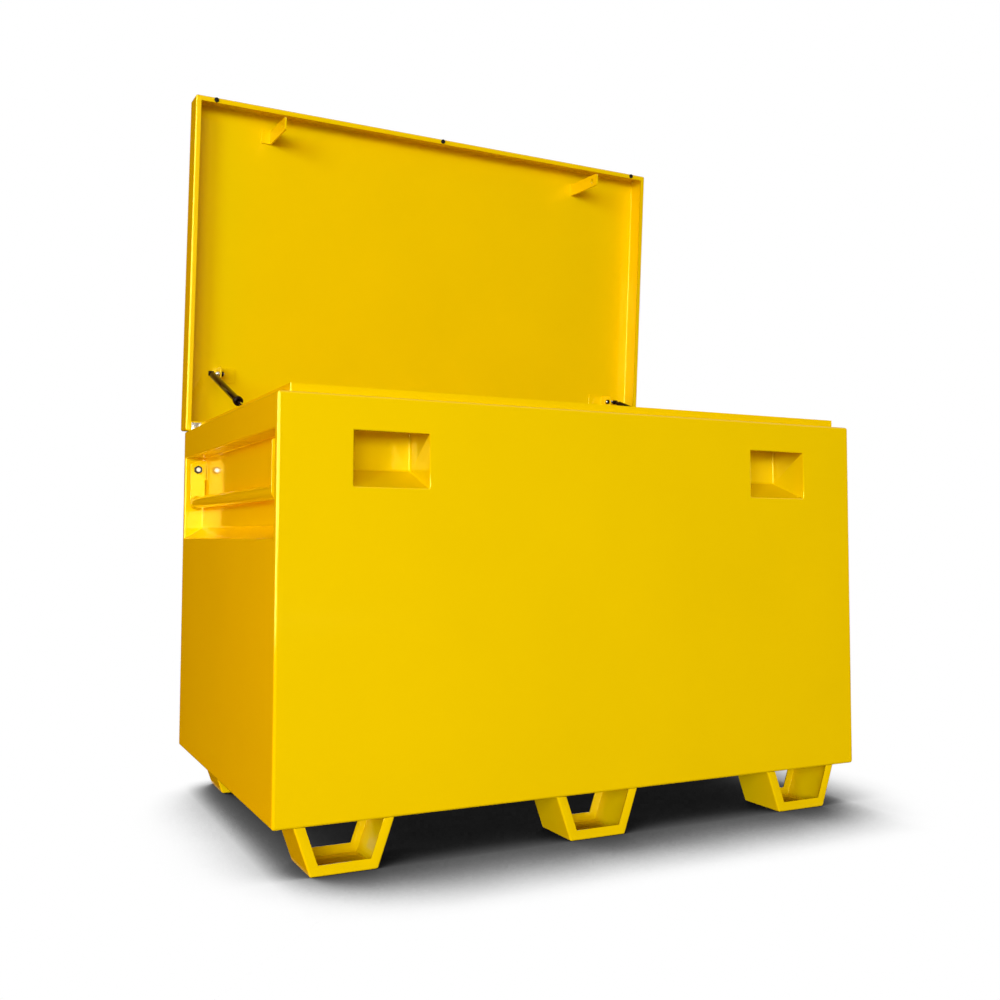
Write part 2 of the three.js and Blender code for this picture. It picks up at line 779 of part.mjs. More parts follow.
// Strut ends with the lid open
const lidPivot = new THREE.Vector2(-lidPivotFromHinge, lidPivotAboveHinge)
  .rotateAround(new THREE.Vector2(), -openTurn)
  .add(new THREE.Vector2(hingeAxisY, hingeAxisZ));
const bodyPivot = new THREE.Vector2(bodyPivotFromFront, bodyPivotZ);
const strutLine = lidPivot.clone().sub(bodyPivot);
const strutLength = strutLine.length();
const cylinderEnd = socketReach + cylinderLength;

// Ball socket at one end of a strut: a cup along X and a tail along Y towards the strut
function socketSolid(side, towards, cupSide, ballY) {
  const x = side * (halfWidth - strutInset);
  const cup = roundX(socketRadius, [x - socketRadius, x + socketRadius], ballY, 0, smallSides);
  const tailEnd = ballY + towards * (socketReach - weldGap);
  const tail = roundY(socketTailRadius, ordered(ballY, tailEnd), x, 0, smallSides);
  const floorX = x - cupSide * (socketRadius - socketFloor);
  const cupSpace = ordered(floorX, x + cupSide * (socketRadius + overrun));
  const space = roundX(ballRadius + weldGap, cupSpace, ballY, 0, smallSides);
  const threadStart = tailEnd - towards * (tailThreadLength + weldGap);
  const threadSpace = ordered(threadStart, tailEnd + towards * overrun);
  const thread = roundY(tailThreadRadius + weldGap, threadSpace, x, 0, smallSides);
  return cup.add(tail).subtract(space).subtract(thread);
}

function strutCylinder(name, side) {
  const inside = cylinderRadius - cylinderWall;
  const guide = rodRadius + weldGap;
  const nose = cylinderEnd - rodGuideLength;
  const profile = [
    [0, -socketReach - cylinderCap],
    [inside, -socketReach - cylinderCap],
    [inside, -nose],
    [guide, -nose],
    [guide, -cylinderEnd],
    [cylinderRadius, -cylinderEnd],
    [cylinderRadius, -socketReach],
    [tailThreadRadius, -socketReach],
    [tailThreadRadius, -socketReach + tailThreadLength],
    [0, -socketReach + tailThreadLength],
  ];
  const geometry = turned(profile, tubeSides);
  geometry.translate(side * (halfWidth - strutInset), 0, 0);
  return named(`${name}_strut_cylinder`, solidFrom(geometry), blackSteel);
}

function strutRod(name, side) {
  const piston = cylinderRadius - cylinderWall - weldGap;
  const pistonFace = cylinderEnd - rodGuideLength - pistonRest;
  const end = strutLength - socketReach + tailThreadLength;
  const shoulder = strutLength - socketReach;
  const profile = [
    [0, -end],
    [tailThreadRadius, -end],
    [tailThreadRadius, -shoulder],
    [rodRadius, -shoulder],
    [rodRadius, -pistonFace],
    [piston, -pistonFace],
    [piston, -pistonFace + pistonLength],
    [0, -pistonFace + pistonLength],
  ];
  const geometry = turned(profile, tubeSides);
  geometry.translate(side * (halfWidth - strutInset), 0, 0);
  return named(`${name}_strut_rod`, solidFrom(geometry), polishedRod);
}

// Struts are laid out forwards from the ball on the lid, then turned to their slope
function strutGroup() {
  const group = new THREE.Group();
  group.position.set(0, lidPivot.x, lidPivot.y);
  group.rotation.x = strutLine.angle();
  for (const [name, side] of leftAndRight) {
    group.add(strutCylinder(name, side), strutRod(name, side));
    group.add(named(`${name}_strut_lid_socket`, socketSolid(side, -1, -side, 0), blackSteel));
    const bodySocket = socketSolid(side, 1, side, -strutLength);
    group.add(named(`${name}_strut_body_socket`, bodySocket, blackSteel));
  }
  return group;
}

const storageBox = new THREE.Group();
storageBox.add(frontPanel(), rearPanel(), floorPanel(), topRim(), ...feet());
for (const [name, side] of leftAndRight) {
  storageBox.add(endPanel(name, side), lockPocket(name, side), ...handle(name, side));
  storageBox.add(bodyStrutBracket(name, side), bodyBallStud(name, side));
}
storageBox.add(hingeFixedGroup(), lidGroup(), strutGroup());

// The origin is on the ground, under the middle of the box with its lid open
const bounds = new THREE.Box3().setFromObject(storageBox, true);
const middle = bounds.getCenter(new THREE.Vector3());
storageBox.position.set(-middle.x, -middle.y, -bounds.min.z);
storageBox.updateMatrixWorld(true);

export default storageBox;
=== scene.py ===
"""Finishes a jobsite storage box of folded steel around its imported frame: welded body, channel feet,
drop handles, lid tray, strip hinge and gas struts, with their paint and plating."""
import json
import math

import bmesh
import bpy
from bpy.props import FloatProperty, FloatVectorProperty, IntProperty, PointerProperty
from mathutils import Matrix, Vector


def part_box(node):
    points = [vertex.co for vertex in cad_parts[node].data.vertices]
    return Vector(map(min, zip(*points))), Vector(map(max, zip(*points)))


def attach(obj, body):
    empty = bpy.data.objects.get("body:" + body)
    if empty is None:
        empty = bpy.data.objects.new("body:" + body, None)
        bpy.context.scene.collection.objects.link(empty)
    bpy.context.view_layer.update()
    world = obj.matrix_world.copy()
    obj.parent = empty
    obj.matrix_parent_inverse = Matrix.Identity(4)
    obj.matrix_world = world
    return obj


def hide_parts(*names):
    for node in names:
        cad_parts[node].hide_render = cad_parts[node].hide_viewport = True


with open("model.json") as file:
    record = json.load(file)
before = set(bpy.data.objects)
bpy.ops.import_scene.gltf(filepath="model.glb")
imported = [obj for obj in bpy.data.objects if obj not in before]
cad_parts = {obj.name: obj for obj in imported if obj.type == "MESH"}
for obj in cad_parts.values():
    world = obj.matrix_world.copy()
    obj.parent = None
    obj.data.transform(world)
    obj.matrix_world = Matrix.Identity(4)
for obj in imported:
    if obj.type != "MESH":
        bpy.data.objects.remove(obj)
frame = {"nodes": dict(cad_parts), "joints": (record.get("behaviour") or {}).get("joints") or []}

bl_info = {
    "name": "Jobsite storage box",
    "version": (1, 0, 0),
    "blender": (4, 5, 0),
    "location": "View3D > Sidebar > Storage box",
    "description": "Finishes a jobsite storage box of folded steel around its packed frame",
    "category": "Object",
}

MM = 0.001
SIDES = (("left", -1), ("right", 1))
ENDS = (("front", -1), ("rear", 1))
JOINTS = {joint["name"]: joint for joint in frame["joints"]}
HINGE = Vector(JOINTS["lid_hinge"]["pos_m"])
OPEN_ANGLE = math.radians(JOINTS["lid_hinge"]["range_deg"][1])
# Lid pieces are made closed about the hinge axis and then swung open
SWUNG_OPEN = Matrix.Translation(HINGE) @ Matrix.Rotation(-OPEN_ANGLE, 4, "X")
X_AXIS = Vector((1, 0, 0))
Y_AXIS = Vector((0, 1, 0))
Z_AXIS = Vector((0, 0, 1))


# Settings that a user would change

def length(name, description, default):
    return FloatProperty(name=name, description=description, default=default, unit="LENGTH", precision=4)


def colour(name, description, default):
    return FloatVectorProperty(name=name, description=description, default=default, subtype="COLOR", min=0.0, max=1.0)


def plain(name, description, default):
    return FloatProperty(name=name, description=description, default=default, precision=3)


class BodySettings(bpy.types.PropertyGroup):
    sheet: length("Sheet", "Thickness of the body and lid sheet", 2 * MM)
    bend: length("Bend", "Outer radius of the corner folds", 6 * MM)
    inner_bend: length("Inner bend", "Radius of the folds in the recesses and pockets", 4 * MM)
    window_bend: length("Window bend", "Radius round the lock windows and the rim", 3 * MM)
    side_shoulder: length("Side shoulder", "Width of the shoulder at the ends", 30 * MM)
    front_shoulder: length("Front shoulder", "Width of the shoulder at the front", 22 * MM)
    rear_shoulder: length("Rear shoulder", "Width of the shoulder at the rear", 30 * MM)
    recess_depth: length("Recess depth", "Depth of the handle recesses", 48 * MM)
    recess_below_top: length("Recess below top", "Distance from the shoulder to a recess", 71 * MM)
    recess_height: length("Recess height", "Height of a recess at the face", 213 * MM)
    shelf_rise: length("Shelf rise", "Rise of the shelf towards the inside", 29 * MM)
    recess_end: length("Recess end", "Distance from the front or rear face to a recess", 19.3 * MM)
    pocket_from_end: length("Pocket from end", "Distance from an end to a pocket's middle", 231 * MM)
    pocket_shift: length("Pocket shift", "Shift of both pockets towards the right", 3 * MM)
    pocket_width: length("Pocket width", "Width of a lock window", 162 * MM)
    pocket_below_top: length("Pocket below top", "Distance from the shoulder to a lock window", 69 * MM)
    pocket_height: length("Pocket height", "Height of a lock window", 111 * MM)
    pocket_depth: length("Pocket depth", "Depth of a lock pocket", 105 * MM)
    pocket_floor_rise: length("Pocket floor rise", "Rise of the pocket's floor towards the back", 40 * MM)
    housing_rise: length("Housing rise", "Height of the housing above the window", 42 * MM)
    lintel: length("Lintel", "Depth of the sheet over the window", 4.3 * MM)
    slot_width: length("Slot width", "Width of the slot for the lock tab", 17 * MM)
    slot_length: length("Slot length", "Length of the slot for the lock tab", 48 * MM)
    slot_from_front: length("Slot from front", "Distance from the front face to the slot's middle", 66 * MM)


class FootSettings(bpy.types.PropertyGroup):
    sheet: length("Sheet", "Thickness of the foot's sheet", 3 * MM)
    bend: length("Bend", "Outer radius of the folds", 4 * MM)
    sole_half: length("Half sole", "Half the width of the sole", 68.5 * MM)
    flange: length("Flange", "Width of the in-turned flanges", 21 * MM)


class HandleSettings(bpy.types.PropertyGroup):
    arm_width: length("Arm width", "Width of a handle arm", 37 * MM)
    arm_thickness: length("Arm thickness", "Thickness of a handle arm", 6 * MM)
    arm_corner: length("Arm corner", "Corner radius at the top of an arm", 5 * MM)
    drop: length("Drop", "Distance from the pivot to the bar", 86 * MM)
    bar_radius: length("Bar radius", "Radius of the handle bar", 15 * MM)
    weld: length("Weld", "Size of the weld between bar and arm", 2.4 * MM)
    lug_corner: length("Lug corner", "Corner radius of a lug", 12 * MM)
    head_flats: length("Head flats", "Size of the bolt heads across their flats", 19 * MM)
    head_chamfer: length("Head chamfer", "Chamfer of the bolt heads' corners", 3 * MM)
    nut_chamfer: length("Nut chamfer", "Chamfer of the nuts' corners", 1.4 * MM)
    head_height: length("Head height", "Height of the bolt heads", 8 * MM)
    nut_flats: length("Nut flats", "Size of the nuts across their flats", 18 * MM)
    shank_radius: length("Shank radius", "Radius of the pivot bolts", 6 * MM)


class LidSettings(bpy.types.PropertyGroup):
    bend: length("Bend", "Outer radius of the tray's folds", 5 * MM)
    side_lip: length("Side lip", "Width of the return lip at the ends", 14 * MM)
    front_lip: length("Front lip", "Width of the return lip at the front", 14 * MM)
    rear_lip: length("Rear lip", "Width of the return lip at the hinge", 26 * MM)
    bumper_radius: length("Bumper radius", "Radius of the rubber bumpers", 6.3 * MM)
    bumper_round: length("Bumper rounding", "Rounding of a bumper's free end", 2 * MM)
    bumper_stem: length("Bumper stem", "Length of the stem that holds a bumper", 6 * MM)
    tab_width: length("Tab width", "Width of the lock tabs", 36 * MM)
    tab_thickness: length("Tab thickness", "Thickness of the lock tabs", 5 * MM)
    tab_foot: length("Tab foot", "Width of a tab's welded foot", 24 * MM)
    tab_corner: length("Tab corner", "Corner radius at a tab's tip", 8 * MM)
    tab_hole: length("Tab hole", "Radius of the padlock hole", 7 * MM)
    tab_hole_from_tip: length("Tab hole from tip", "Distance from the tip to the padlock hole", 28 * MM)


class HingeSettings(bpy.types.PropertyGroup):
    leaf_width: length("Leaf width", "Width of a hinge leaf", 24 * MM)
    leaf_thickness: length("Leaf thickness", "Thickness of a hinge leaf", 1.6 * MM)
    leaf_gap: length("Leaf gap", "Gap between the closed leaves", 0.8 * MM)
    knuckle_radius: length("Knuckle radius", "Outer radius of the knuckles", 3.6 * MM)
    pin_radius: length("Pin radius", "Radius of the hinge pin", 1.6 * MM)
    knuckle_play: length("Knuckle play", "Gap between two knuckles", 0.5 * MM)
    knuckle_pairs: IntProperty(name="Knuckle pairs", description="Pairs of knuckles along the hinge", default=22)
    rivets: IntProperty(name="Rivets", description="Rivets along each leaf", default=14)
    rivet_radius: length("Rivet radius", "Radius of the rivet heads", 4 * MM)


class StrutSettings(bpy.types.PropertyGroup):
    cylinder_radius: length("Cylinder radius", "Radius of the strut's cylinder", 9 * MM)
    cylinder_length: length("Cylinder length", "Length of the strut's cylinder", 312 * MM)
    dome: length("Dome", "Height of the cylinder's domed end", 4.5 * MM)
    collar_radius: length("Collar radius", "Radius of the guard at the rod end", 12 * MM)
    collar_length: length("Collar length", "Length of the guard at the rod end", 15 * MM)
    collar_round: length("Collar rounding", "Rounding of the guard's ends", 1.8 * MM)
    seal_radius: length("Seal radius", "Radius of the hollow round the rod", 7.2 * MM)
    seal_depth: length("Seal depth", "Depth of the hollow round the rod", 5 * MM)
    rod_play: length("Rod play", "Gap between the rod and the cylinder's bore", 0.4 * MM)
    bore_depth: length("Bore depth", "Depth of the cylinder's bore, which takes the rod as the lid closes", 226 * MM)
    rod_overlap: length("Rod overlap", "How far the rod reaches into the cylinder at least", 10 * MM)
    rod_radius: length("Rod radius", "Radius of the strut's rod", 4 * MM)
    socket_reach: length("Socket reach", "Distance from a ball to the strut's end", 22 * MM)
    socket_radius: length("Socket radius", "Radius of the ball sockets", 7 * MM)
    tail_radius: length("Tail radius", "Radius of a socket's tail", 5.5 * MM)
    ball_radius: length("Ball radius", "Radius of the ball studs", 5 * MM)
    neck_radius: length("Neck radius", "Radius of a ball stud's neck", 3 * MM)
    shank_radius: length("Shank radius", "Radius of a ball stud's shank", 4 * MM)
    shoulder_radius: length("Shoulder radius", "Radius of a ball stud's shoulder", 6.5 * MM)
    shoulder_depth: length("Shoulder depth", "Depth of a ball stud's shoulder", 9 * MM)
    lid_stud_reach: length("Lid stud reach", "Distance from a lid stud's ball to its bracket", 22.7 * MM)
    body_stud_reach: length("Body stud reach", "Distance from a body stud's ball to its bracket", 14.7 * MM)
    bracket_sheet: length("Bracket sheet", "Thickness of the strut brackets", 3 * MM)
    bracket_corner: length("Bracket corner", "Corner radius of the strut brackets", 12 * MM)
    nut_flats: length("Nut flats", "Size of the stud nuts across their flats", 13 * MM)


class FinishSettings(bpy.types.PropertyGroup):
    paint: colour("Paint", "Colour of the powder coat", (0.87, 0.6, 0.0))
    paint_gleam: colour("Paint gleam", "Tint of the powder coat's reflections", (1.0, 0.82, 0.16))
    paint_roughness: plain("Paint roughness", "Roughness of the powder coat", 0.1)
    zinc: colour("Zinc", "Colour of the zinc plate", (0.66, 0.665, 0.65))
    # Painted shade: the share of the zinc's colour that the bolt and nut rims are darkened to
    bolt_rim_painted_shade: plain("Bolt shade", "How bright the rims of the bolts are beside their middles", 0.04)
    black: colour("Black", "Colour of the strut's paint", (0.014, 0.006, 0.004))
    rubber: colour("Rubber", "Colour of the bumpers", (0.012, 0.011, 0.011))
    rod: colour("Rod", "Colour of the polished rod", (0.66, 0.67, 0.69))


class StageSettings(bpy.types.PropertyGroup):
    camera_place: FloatVectorProperty(name="Camera place", description="Where the camera stands", subtype="XYZ",
                                      unit="LENGTH", default=(-1.2658, -2.4134, 0.6383))
    camera_yaw: FloatProperty(name="Camera yaw", description="Turn of the camera towards +X", subtype="ANGLE",
                              default=0.4484)
    camera_pitch: FloatProperty(name="Camera pitch", description="Tilt of the camera upwards", subtype="ANGLE",
                                default=0.055)
    camera_roll: FloatProperty(name="Camera roll", description="Roll of the camera", subtype="ANGLE",
                               default=0.0047)
    lens: plain("Lens", "Focal length in millimetres", 37.8)
    shift_x: plain("Shift X", "Sideways shift of the lens", 0.0381)
    shift_y: plain("Shift Y", "Upward shift of the lens", -0.0197)
    sky: plain("Sky", "Strength of the even light from all round", 0.43)
    sky_tint: colour("Sky tint", "Colour of the even light", (1.0, 0.59, 0.43))
    key_power: plain("Key power", "Power of the main light in watts", 575.0)
    key_tint: colour("Key tint", "Colour of the main light", (0.96, 1.0, 0.96))
    left_power: plain("Left power", "Power of the light in front and to the left in watts", 402.0)
    left_tint: colour("Left tint", "Colour of the light in front and to the left", (0.82, 1.0, 0.9))
    side_power: plain("Side power", "Power of the low light at the left in watts", 47.0)
    side_tint: colour("Side tint", "Colour of the low light at the left", (1.0, 0.1, 0.1))
    rear_power: plain("Rear power", "Power of the light behind the box in watts", 340.0)
    rear_tint: colour("Rear tint", "Colour of the light behind the box", (1.0, 1.0, 1.0))
    card_glow: plain("Card glow", "Strength of the card that lights the folds", 12.0)
    floor_grey: plain("Floor grey", "How much light the floor throws back", 0.28)
    shadow_reach: length("Shadow reach", "How far the floor's shade reaches", 0.42)
    shadow_lean: FloatVectorProperty(name="Shadow lean", description="Way the floor's shade leans in X and Y", size=2,
                                     default=(-0.22, 0.6))


# Mesh helpers

def between(low, high):
    """A new mesh of one block between two corners."""
    mesh = bmesh.new()
    add_block(mesh, low, high)
    return mesh


def add_block(mesh, low, high):
    low = Vector(low)
    high = Vector(high)
    made = bmesh.ops.create_cube(mesh, size=1.0)
    bmesh.ops.scale(mesh, vec=high - low, verts=made["verts"])
    bmesh.ops.translate(mesh, vec=(low + high) / 2, verts=made["verts"])
    mesh.normal_update()
    return made["verts"]


def looking(mesh, direction, test=None):
    """Faces that look in a direction, and whose middle passes a test."""
    found = [face for face in mesh.faces if face.normal.dot(Vector(direction)) > 0.99]
    if test is None:
        return found
    return [face for face in found if test(face.calc_center_median())]


def cut(mesh, faces, point, normal):
    """Cuts faces along a plane."""
    parts = set(faces)
    for face in faces:
        parts.update(face.edges)
        parts.update(face.verts)
    bmesh.ops.bisect_plane(mesh, geom=list(parts), dist=0.01 * MM, plane_co=point, plane_no=normal)


def cut_window(mesh, direction, test, spans):
    """Cuts the faces that look in a direction at both ends of each span, and returns the middle ones."""
    for axis, places in spans:
        for place in places:
            cut(mesh, looking(mesh, direction, test), axis * place, axis)
    mesh.normal_update()

    def inside(middle):
        return all(min(places) < middle.dot(axis) < max(places) for axis, places in spans)

    return looking(mesh, direction, lambda middle: inside(middle) and (test is None or test(middle)))


def push(mesh, faces, depth):
    """Moves faces along their normals and builds walls behind them. Returns the walls."""
    walls = bmesh.ops.inset_region(mesh, faces=faces, thickness=0.0, depth=depth, use_even_offset=True)
    mesh.normal_update()
    return walls["faces"]


def folded(edge, least=0.3):
    """True for an edge between two faces that stand at an angle."""
    return len(edge.link_faces) == 2 and edge.calc_face_angle(0.0) > least


def round_edges(mesh, edges, radius, segments=3, clamp=True):
    if edges:
        bmesh.ops.bevel(mesh, geom=edges, offset=radius, offset_type="OFFSET", affect="EDGES", segments=segments,
                        profile=0.5, material=-1, clamp_overlap=clamp)
        mesh.normal_update()


def round_sharp(mesh, radius, segments=2, least=0.6):
    """Rounds every sharp edge of a mesh."""
    round_edges(mesh, [edge for edge in mesh.edges if folded(edge, least)], radius, segments)


def join(mesh, *others):
    """Adds other meshes to a mesh."""
    for other in others:
        copy = bpy.data.meshes.new("joined")
        other.to_mesh(copy)
        other.free()
        mesh.from_mesh(copy)
        bpy.data.meshes.remove(copy)
    mesh.normal_update()
    return mesh


def moved(mesh, matrix):
    bmesh.ops.transform(mesh, matrix=matrix, verts=mesh.verts)
    mesh.normal_update()
    return mesh


def plate(outline, thickness, holes=(), steps=8):
    """Flat plate in X and Y that rises from 0 in Z. Its corners are given as (x, y, radius)."""
    mesh = bmesh.new()
    corners = [mesh.verts.new((x, y, 0.0)) for x, y, radius in outline]
    mesh.faces.new(corners)
    for size in sorted({radius for x, y, radius in outline if radius > 0}):
        picked = [corner for corner, (x, y, radius) in zip(corners, outline) if radius == size]
        bmesh.ops.bevel(mesh, geom=picked, offset=size, offset_type="OFFSET", affect="VERTICES", segments=steps,
                        profile=0.5, material=-1)
    bmesh.ops.remove_doubles(mesh, verts=mesh.verts, dist=0.01 * MM)
    if holes:
        bmesh.ops.delete(mesh, geom=mesh.faces[:], context="FACES_ONLY")
        for x, y, radius in holes:
            bmesh.ops.create_circle(mesh, segments=4 * steps, radius=radius, matrix=Matrix.Translation((x, y, 0.0)))
        bmesh.ops.triangle_fill(mesh, use_beauty=True, use_dissolve=False, edges=mesh.edges[:])
    bmesh.ops.recalc_face_normals(mesh, faces=mesh.faces)
    bmesh.ops.solidify(mesh, geom=mesh.faces[:], thickness=thickness)
    lowest = min(vert.co.z for vert in mesh.verts)
    bmesh.ops.translate(mesh, vec=(0.0, 0.0, -lowest), verts=mesh.verts)
    bmesh.ops.recalc_face_normals(mesh, faces=mesh.faces)
    mesh.normal_update()
    return mesh


def turned(profile, steps=48):
    """Round piece about Z from a profile of (radius, height)."""
    mesh = bmesh.new()
    verts = [mesh.verts.new((radius, 0.0, height)) for radius, height in profile]
    edges = [mesh.edges.new(pair) for pair in zip(verts, verts[1:])]
    bmesh.ops.spin(mesh, geom=verts + edges, cent=(0, 0, 0), axis=(0, 0, 1), dvec=(0, 0, 0),
                   angle=math.tau, steps=steps, use_merge=True)
    bmesh.ops.remove_doubles(mesh, verts=mesh.verts, dist=0.001 * MM)
    bmesh.ops.recalc_face_normals(mesh, faces=mesh.faces)
    mesh.normal_update()
    return mesh


def hexagon(flats, height, chamfer, bore=0.0):
    """Hexagon head or nut about Z, from 0 up to its height, with chamfered corners."""
    radius = flats / 2 / math.cos(math.pi / 6)
    mesh = bmesh.new()
    bmesh.ops.create_cone(mesh, cap_ends=True, segments=6, radius1=radius, radius2=radius, depth=height,
                          matrix=Matrix.Translation((0.0, 0.0, height / 2)))
    mesh.normal_update()
    tops = [vert for vert in mesh.verts if vert.co.z > height / 2]
    bmesh.ops.bevel(mesh, geom=tops, offset=chamfer, offset_type="OFFSET", affect="VERTICES", segments=1,
                    profile=0.5, material=-1)
    mesh.normal_update()
    round_sharp(mesh, 0.5 * MM)
    bmesh.ops.remove_doubles(mesh, verts=mesh.verts, dist=0.001 * MM)
    if bore > 0:
        face = max(mesh.faces, key=lambda f: f.calc_center_median().z + f.calc_area())
        bmesh.ops.inset_individual(mesh, faces=[face], thickness=radius / 3, depth=0.0)
        bmesh.ops.inset_individual(mesh, faces=[face], thickness=0.0, depth=-0.6 * MM)
    return mesh


# Axes that a piece made about Z is turned to
ALONG_X = Matrix.Rotation(math.radians(90), 4, "Y")
ALONG_Y = Matrix.Rotation(math.radians(-90), 4, "X")


def solid_piece(name, mesh, finish, body, nodes, sheet=0.0):
    """Makes an object of a finished mesh, thickens it if it is a sheet, and ties it to the frame."""
    data = bpy.data.meshes.new(name)
    mesh.to_mesh(data)
    mesh.free()
    data.shade_smooth()
    piece = bpy.data.objects.new(name, data)
    bpy.context.scene.collection.objects.link(piece)
    make_material, slot = FINISHES[finish]
    data.materials.append(make_material())
    if sheet > 0:
        wall = piece.modifiers.new("wall", "SOLIDIFY")
        wall.thickness = sheet
        wall.offset = -1.0
        wall.use_even_offset = True
        wall.use_quality_normals = True
    shading = piece.modifiers.new("shading", "WEIGHTED_NORMAL")
    shading.keep_sharp = True
    shading.weight = 100
    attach(piece, body)
    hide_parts(*nodes)
    return piece


# Finishes

def new_material(name):
    material = bpy.data.materials.new(name)
    material.use_nodes = True
    nodes = material.node_tree.nodes
    links = material.node_tree.links
    return material, nodes, links, nodes["Principled BSDF"]


def noise(nodes, links, place, scale, detail=2.0):
    texture = nodes.new("ShaderNodeTexNoise")
    texture.inputs["Scale"].default_value = scale
    texture.inputs["Detail"].default_value = detail
    links.new(place.outputs["Object"], texture.inputs["Vector"])
    return texture


def ranged(nodes, links, source, low, high):
    spread = nodes.new("ShaderNodeMapRange")
    spread.inputs["From Min"].default_value = 0.3
    spread.inputs["From Max"].default_value = 0.7
    spread.inputs["To Min"].default_value = low
    spread.inputs["To Max"].default_value = high
    links.new(source.outputs["Fac"], spread.inputs["Value"])
    return spread


def blended(nodes, links, factor, dark, light):
    mix = nodes.new("ShaderNodeMix")
    mix.data_type = "RGBA"
    mix.inputs["A"].default_value = (*dark, 1.0)
    mix.inputs["B"].default_value = (*light, 1.0)
    links.new(factor.outputs[0], mix.inputs["Factor"])
    return mix


def bumped(nodes, links, source, shader, strength, distance):
    bump = nodes.new("ShaderNodeBump")
    bump.inputs["Strength"].default_value = strength
    bump.inputs["Distance"].default_value = distance
    links.new(source.outputs["Fac"], bump.inputs["Height"])
    links.new(bump.outputs["Normal"], shader.inputs["Normal"])


def darkened(values, share):
    return tuple(value * share for value in values)


def surface(name, base, roughness, spread, metallic, scales, peel, share=0.94):
    """A finish with cloudy colour, uneven gloss and a fine grain. Scales are those of the three patterns."""
    if name in bpy.data.materials:
        return bpy.data.materials[name]
    material, nodes, links, shader = new_material(name)
    place = nodes.new("ShaderNodeTexCoord")
    cloud = ranged(nodes, links, noise(nodes, links, place, scales[0]), 0.0, 1.0)
    tint = blended(nodes, links, cloud, darkened(base, share), base)
    links.new(tint.outputs["Result"], shader.inputs["Base Color"])
    gloss = ranged(nodes, links, noise(nodes, links, place, scales[1]), roughness - spread, roughness + spread)
    links.new(gloss.outputs["Result"], shader.inputs["Roughness"])
    bumped(nodes, links, noise(nodes, links, place, scales[2], 1.0), shader, peel, 0.2 * MM)
    shader.inputs["Metallic"].default_value = metallic
    return material


def yellow_paint():
    finish = bpy.context.scene.box_finish
    material = surface("yellow_powder_coat", finish.paint, finish.paint_roughness, 0.02, 0.0, (3.0, 40.0, 420.0),
                       0.03, 0.97)
    shader = material.node_tree.nodes["Principled BSDF"]
    shader.inputs["Specular Tint"].default_value = (*finish.paint_gleam, 1.0)
    return material


def zinc_plate():
    return surface("bright_zinc", bpy.context.scene.box_finish.zinc, 0.26, 0.06, 1.0, (220.0, 300.0, 900.0), 0.12, 0.8)


def plated_bolt():
    """Plated steel that is bright in the middle of each head and nut, with painted shade that darkens its base colour
    towards the rim.
    """
    if "plated_bolt" in bpy.data.materials:
        return bpy.data.materials["plated_bolt"]
    scene = bpy.context.scene
    finish = scene.box_finish
    material = surface("plated_bolt", finish.zinc, 0.34, 0.04, 1.0, (220.0, 300.0, 900.0), 0.05, 0.8)
    nodes = material.node_tree.nodes
    links = material.node_tree.links
    shader = nodes["Principled BSDF"]
    pivot = Vector(JOINTS["right_handle_hinge"]["pos_m"])
    place = nodes.new("ShaderNodeTexCoord")
    folded_over = nodes.new("ShaderNodeVectorMath")
    folded_over.operation = "ABSOLUTE"
    links.new(place.outputs["Object"], folded_over.inputs[0])
    from_axis = nodes.new("ShaderNodeVectorMath")
    from_axis.operation = "SUBTRACT"
    from_axis.inputs[1].default_value = pivot
    links.new(folded_over.outputs["Vector"], from_axis.inputs[0])
    across = nodes.new("ShaderNodeVectorMath")
    across.operation = "MULTIPLY"
    across.inputs[1].default_value = (1.0, 0.0, 1.0)
    links.new(from_axis.outputs["Vector"], across.inputs[0])
    radius = nodes.new("ShaderNodeVectorMath")
    radius.operation = "LENGTH"
    links.new(across.outputs["Vector"], radius.inputs[0])
    # Painted shade: from a fifth to about a third of the head's flats out from the pivot axis, the base colour darkens
    # to the rim's share
    rim = nodes.new("ShaderNodeMapRange")
    rim.inputs["From Min"].default_value = scene.box_handle.head_flats * 0.2
    rim.inputs["From Max"].default_value = scene.box_handle.head_flats * 0.36
    links.new(radius.outputs["Value"], rim.inputs["Value"])
    bright = shader.inputs["Base Color"].links[0].from_socket
    tint = blended(nodes, links, rim, finish.zinc, darkened(finish.zinc, finish.bolt_rim_painted_shade))
    links.new(bright, tint.inputs["A"])
    links.new(tint.outputs["Result"], shader.inputs["Base Color"])
    return material


def black_steel():
    material = surface("black_strut_paint", bpy.context.scene.box_finish.black, 0.1, 0.03, 0.0, (40.0, 120.0, 900.0),
                       0.05, 0.7)
    material.node_tree.nodes["Principled BSDF"].inputs["Specular IOR Level"].default_value = 0.06
    return material


def black_rubber():
    material = surface("black_rubber", bpy.context.scene.box_finish.rubber, 0.5, 0.08, 0.0, (90.0, 200.0, 1500.0),
                       0.2, 0.7)
    material.node_tree.nodes["Principled BSDF"].inputs["Specular IOR Level"].default_value = 0.06
    return material


def polished_rod():
    return surface("polished_rod", bpy.context.scene.box_finish.rod, 0.12, 0.03, 1.0, (30.0, 60.0, 1200.0), 0.04, 0.9)


# Each finish's material and the slot of the part that it belongs to
FINISHES = {
    "yellow_paint": (yellow_paint, "yellow_paint"),
    "zinc_plate": (zinc_plate, "zinc_plate"),
    # Bolts and nuts: zinc with painted shade darkening the rims of the heads and nuts
    "plated_bolt": (plated_bolt, "zinc_plate"),
    "black_steel": (black_steel, "black_steel"),
    "black_rubber": (black_rubber, "black_rubber"),
    "polished_rod": (polished_rod, "polished_rod"),
}


# Welded body

def body_places(body):
    """Corners of the body, with its shoulder as the top, and the top of the rim."""
    low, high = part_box("front_panel")
    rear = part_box("rear_panel")[1].y
    rim_low, rim_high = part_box("top_rim")
    return Vector((low.x, low.y, low.z)), Vector((high.x, rear, rim_low.z + body.sheet)), rim_high.z


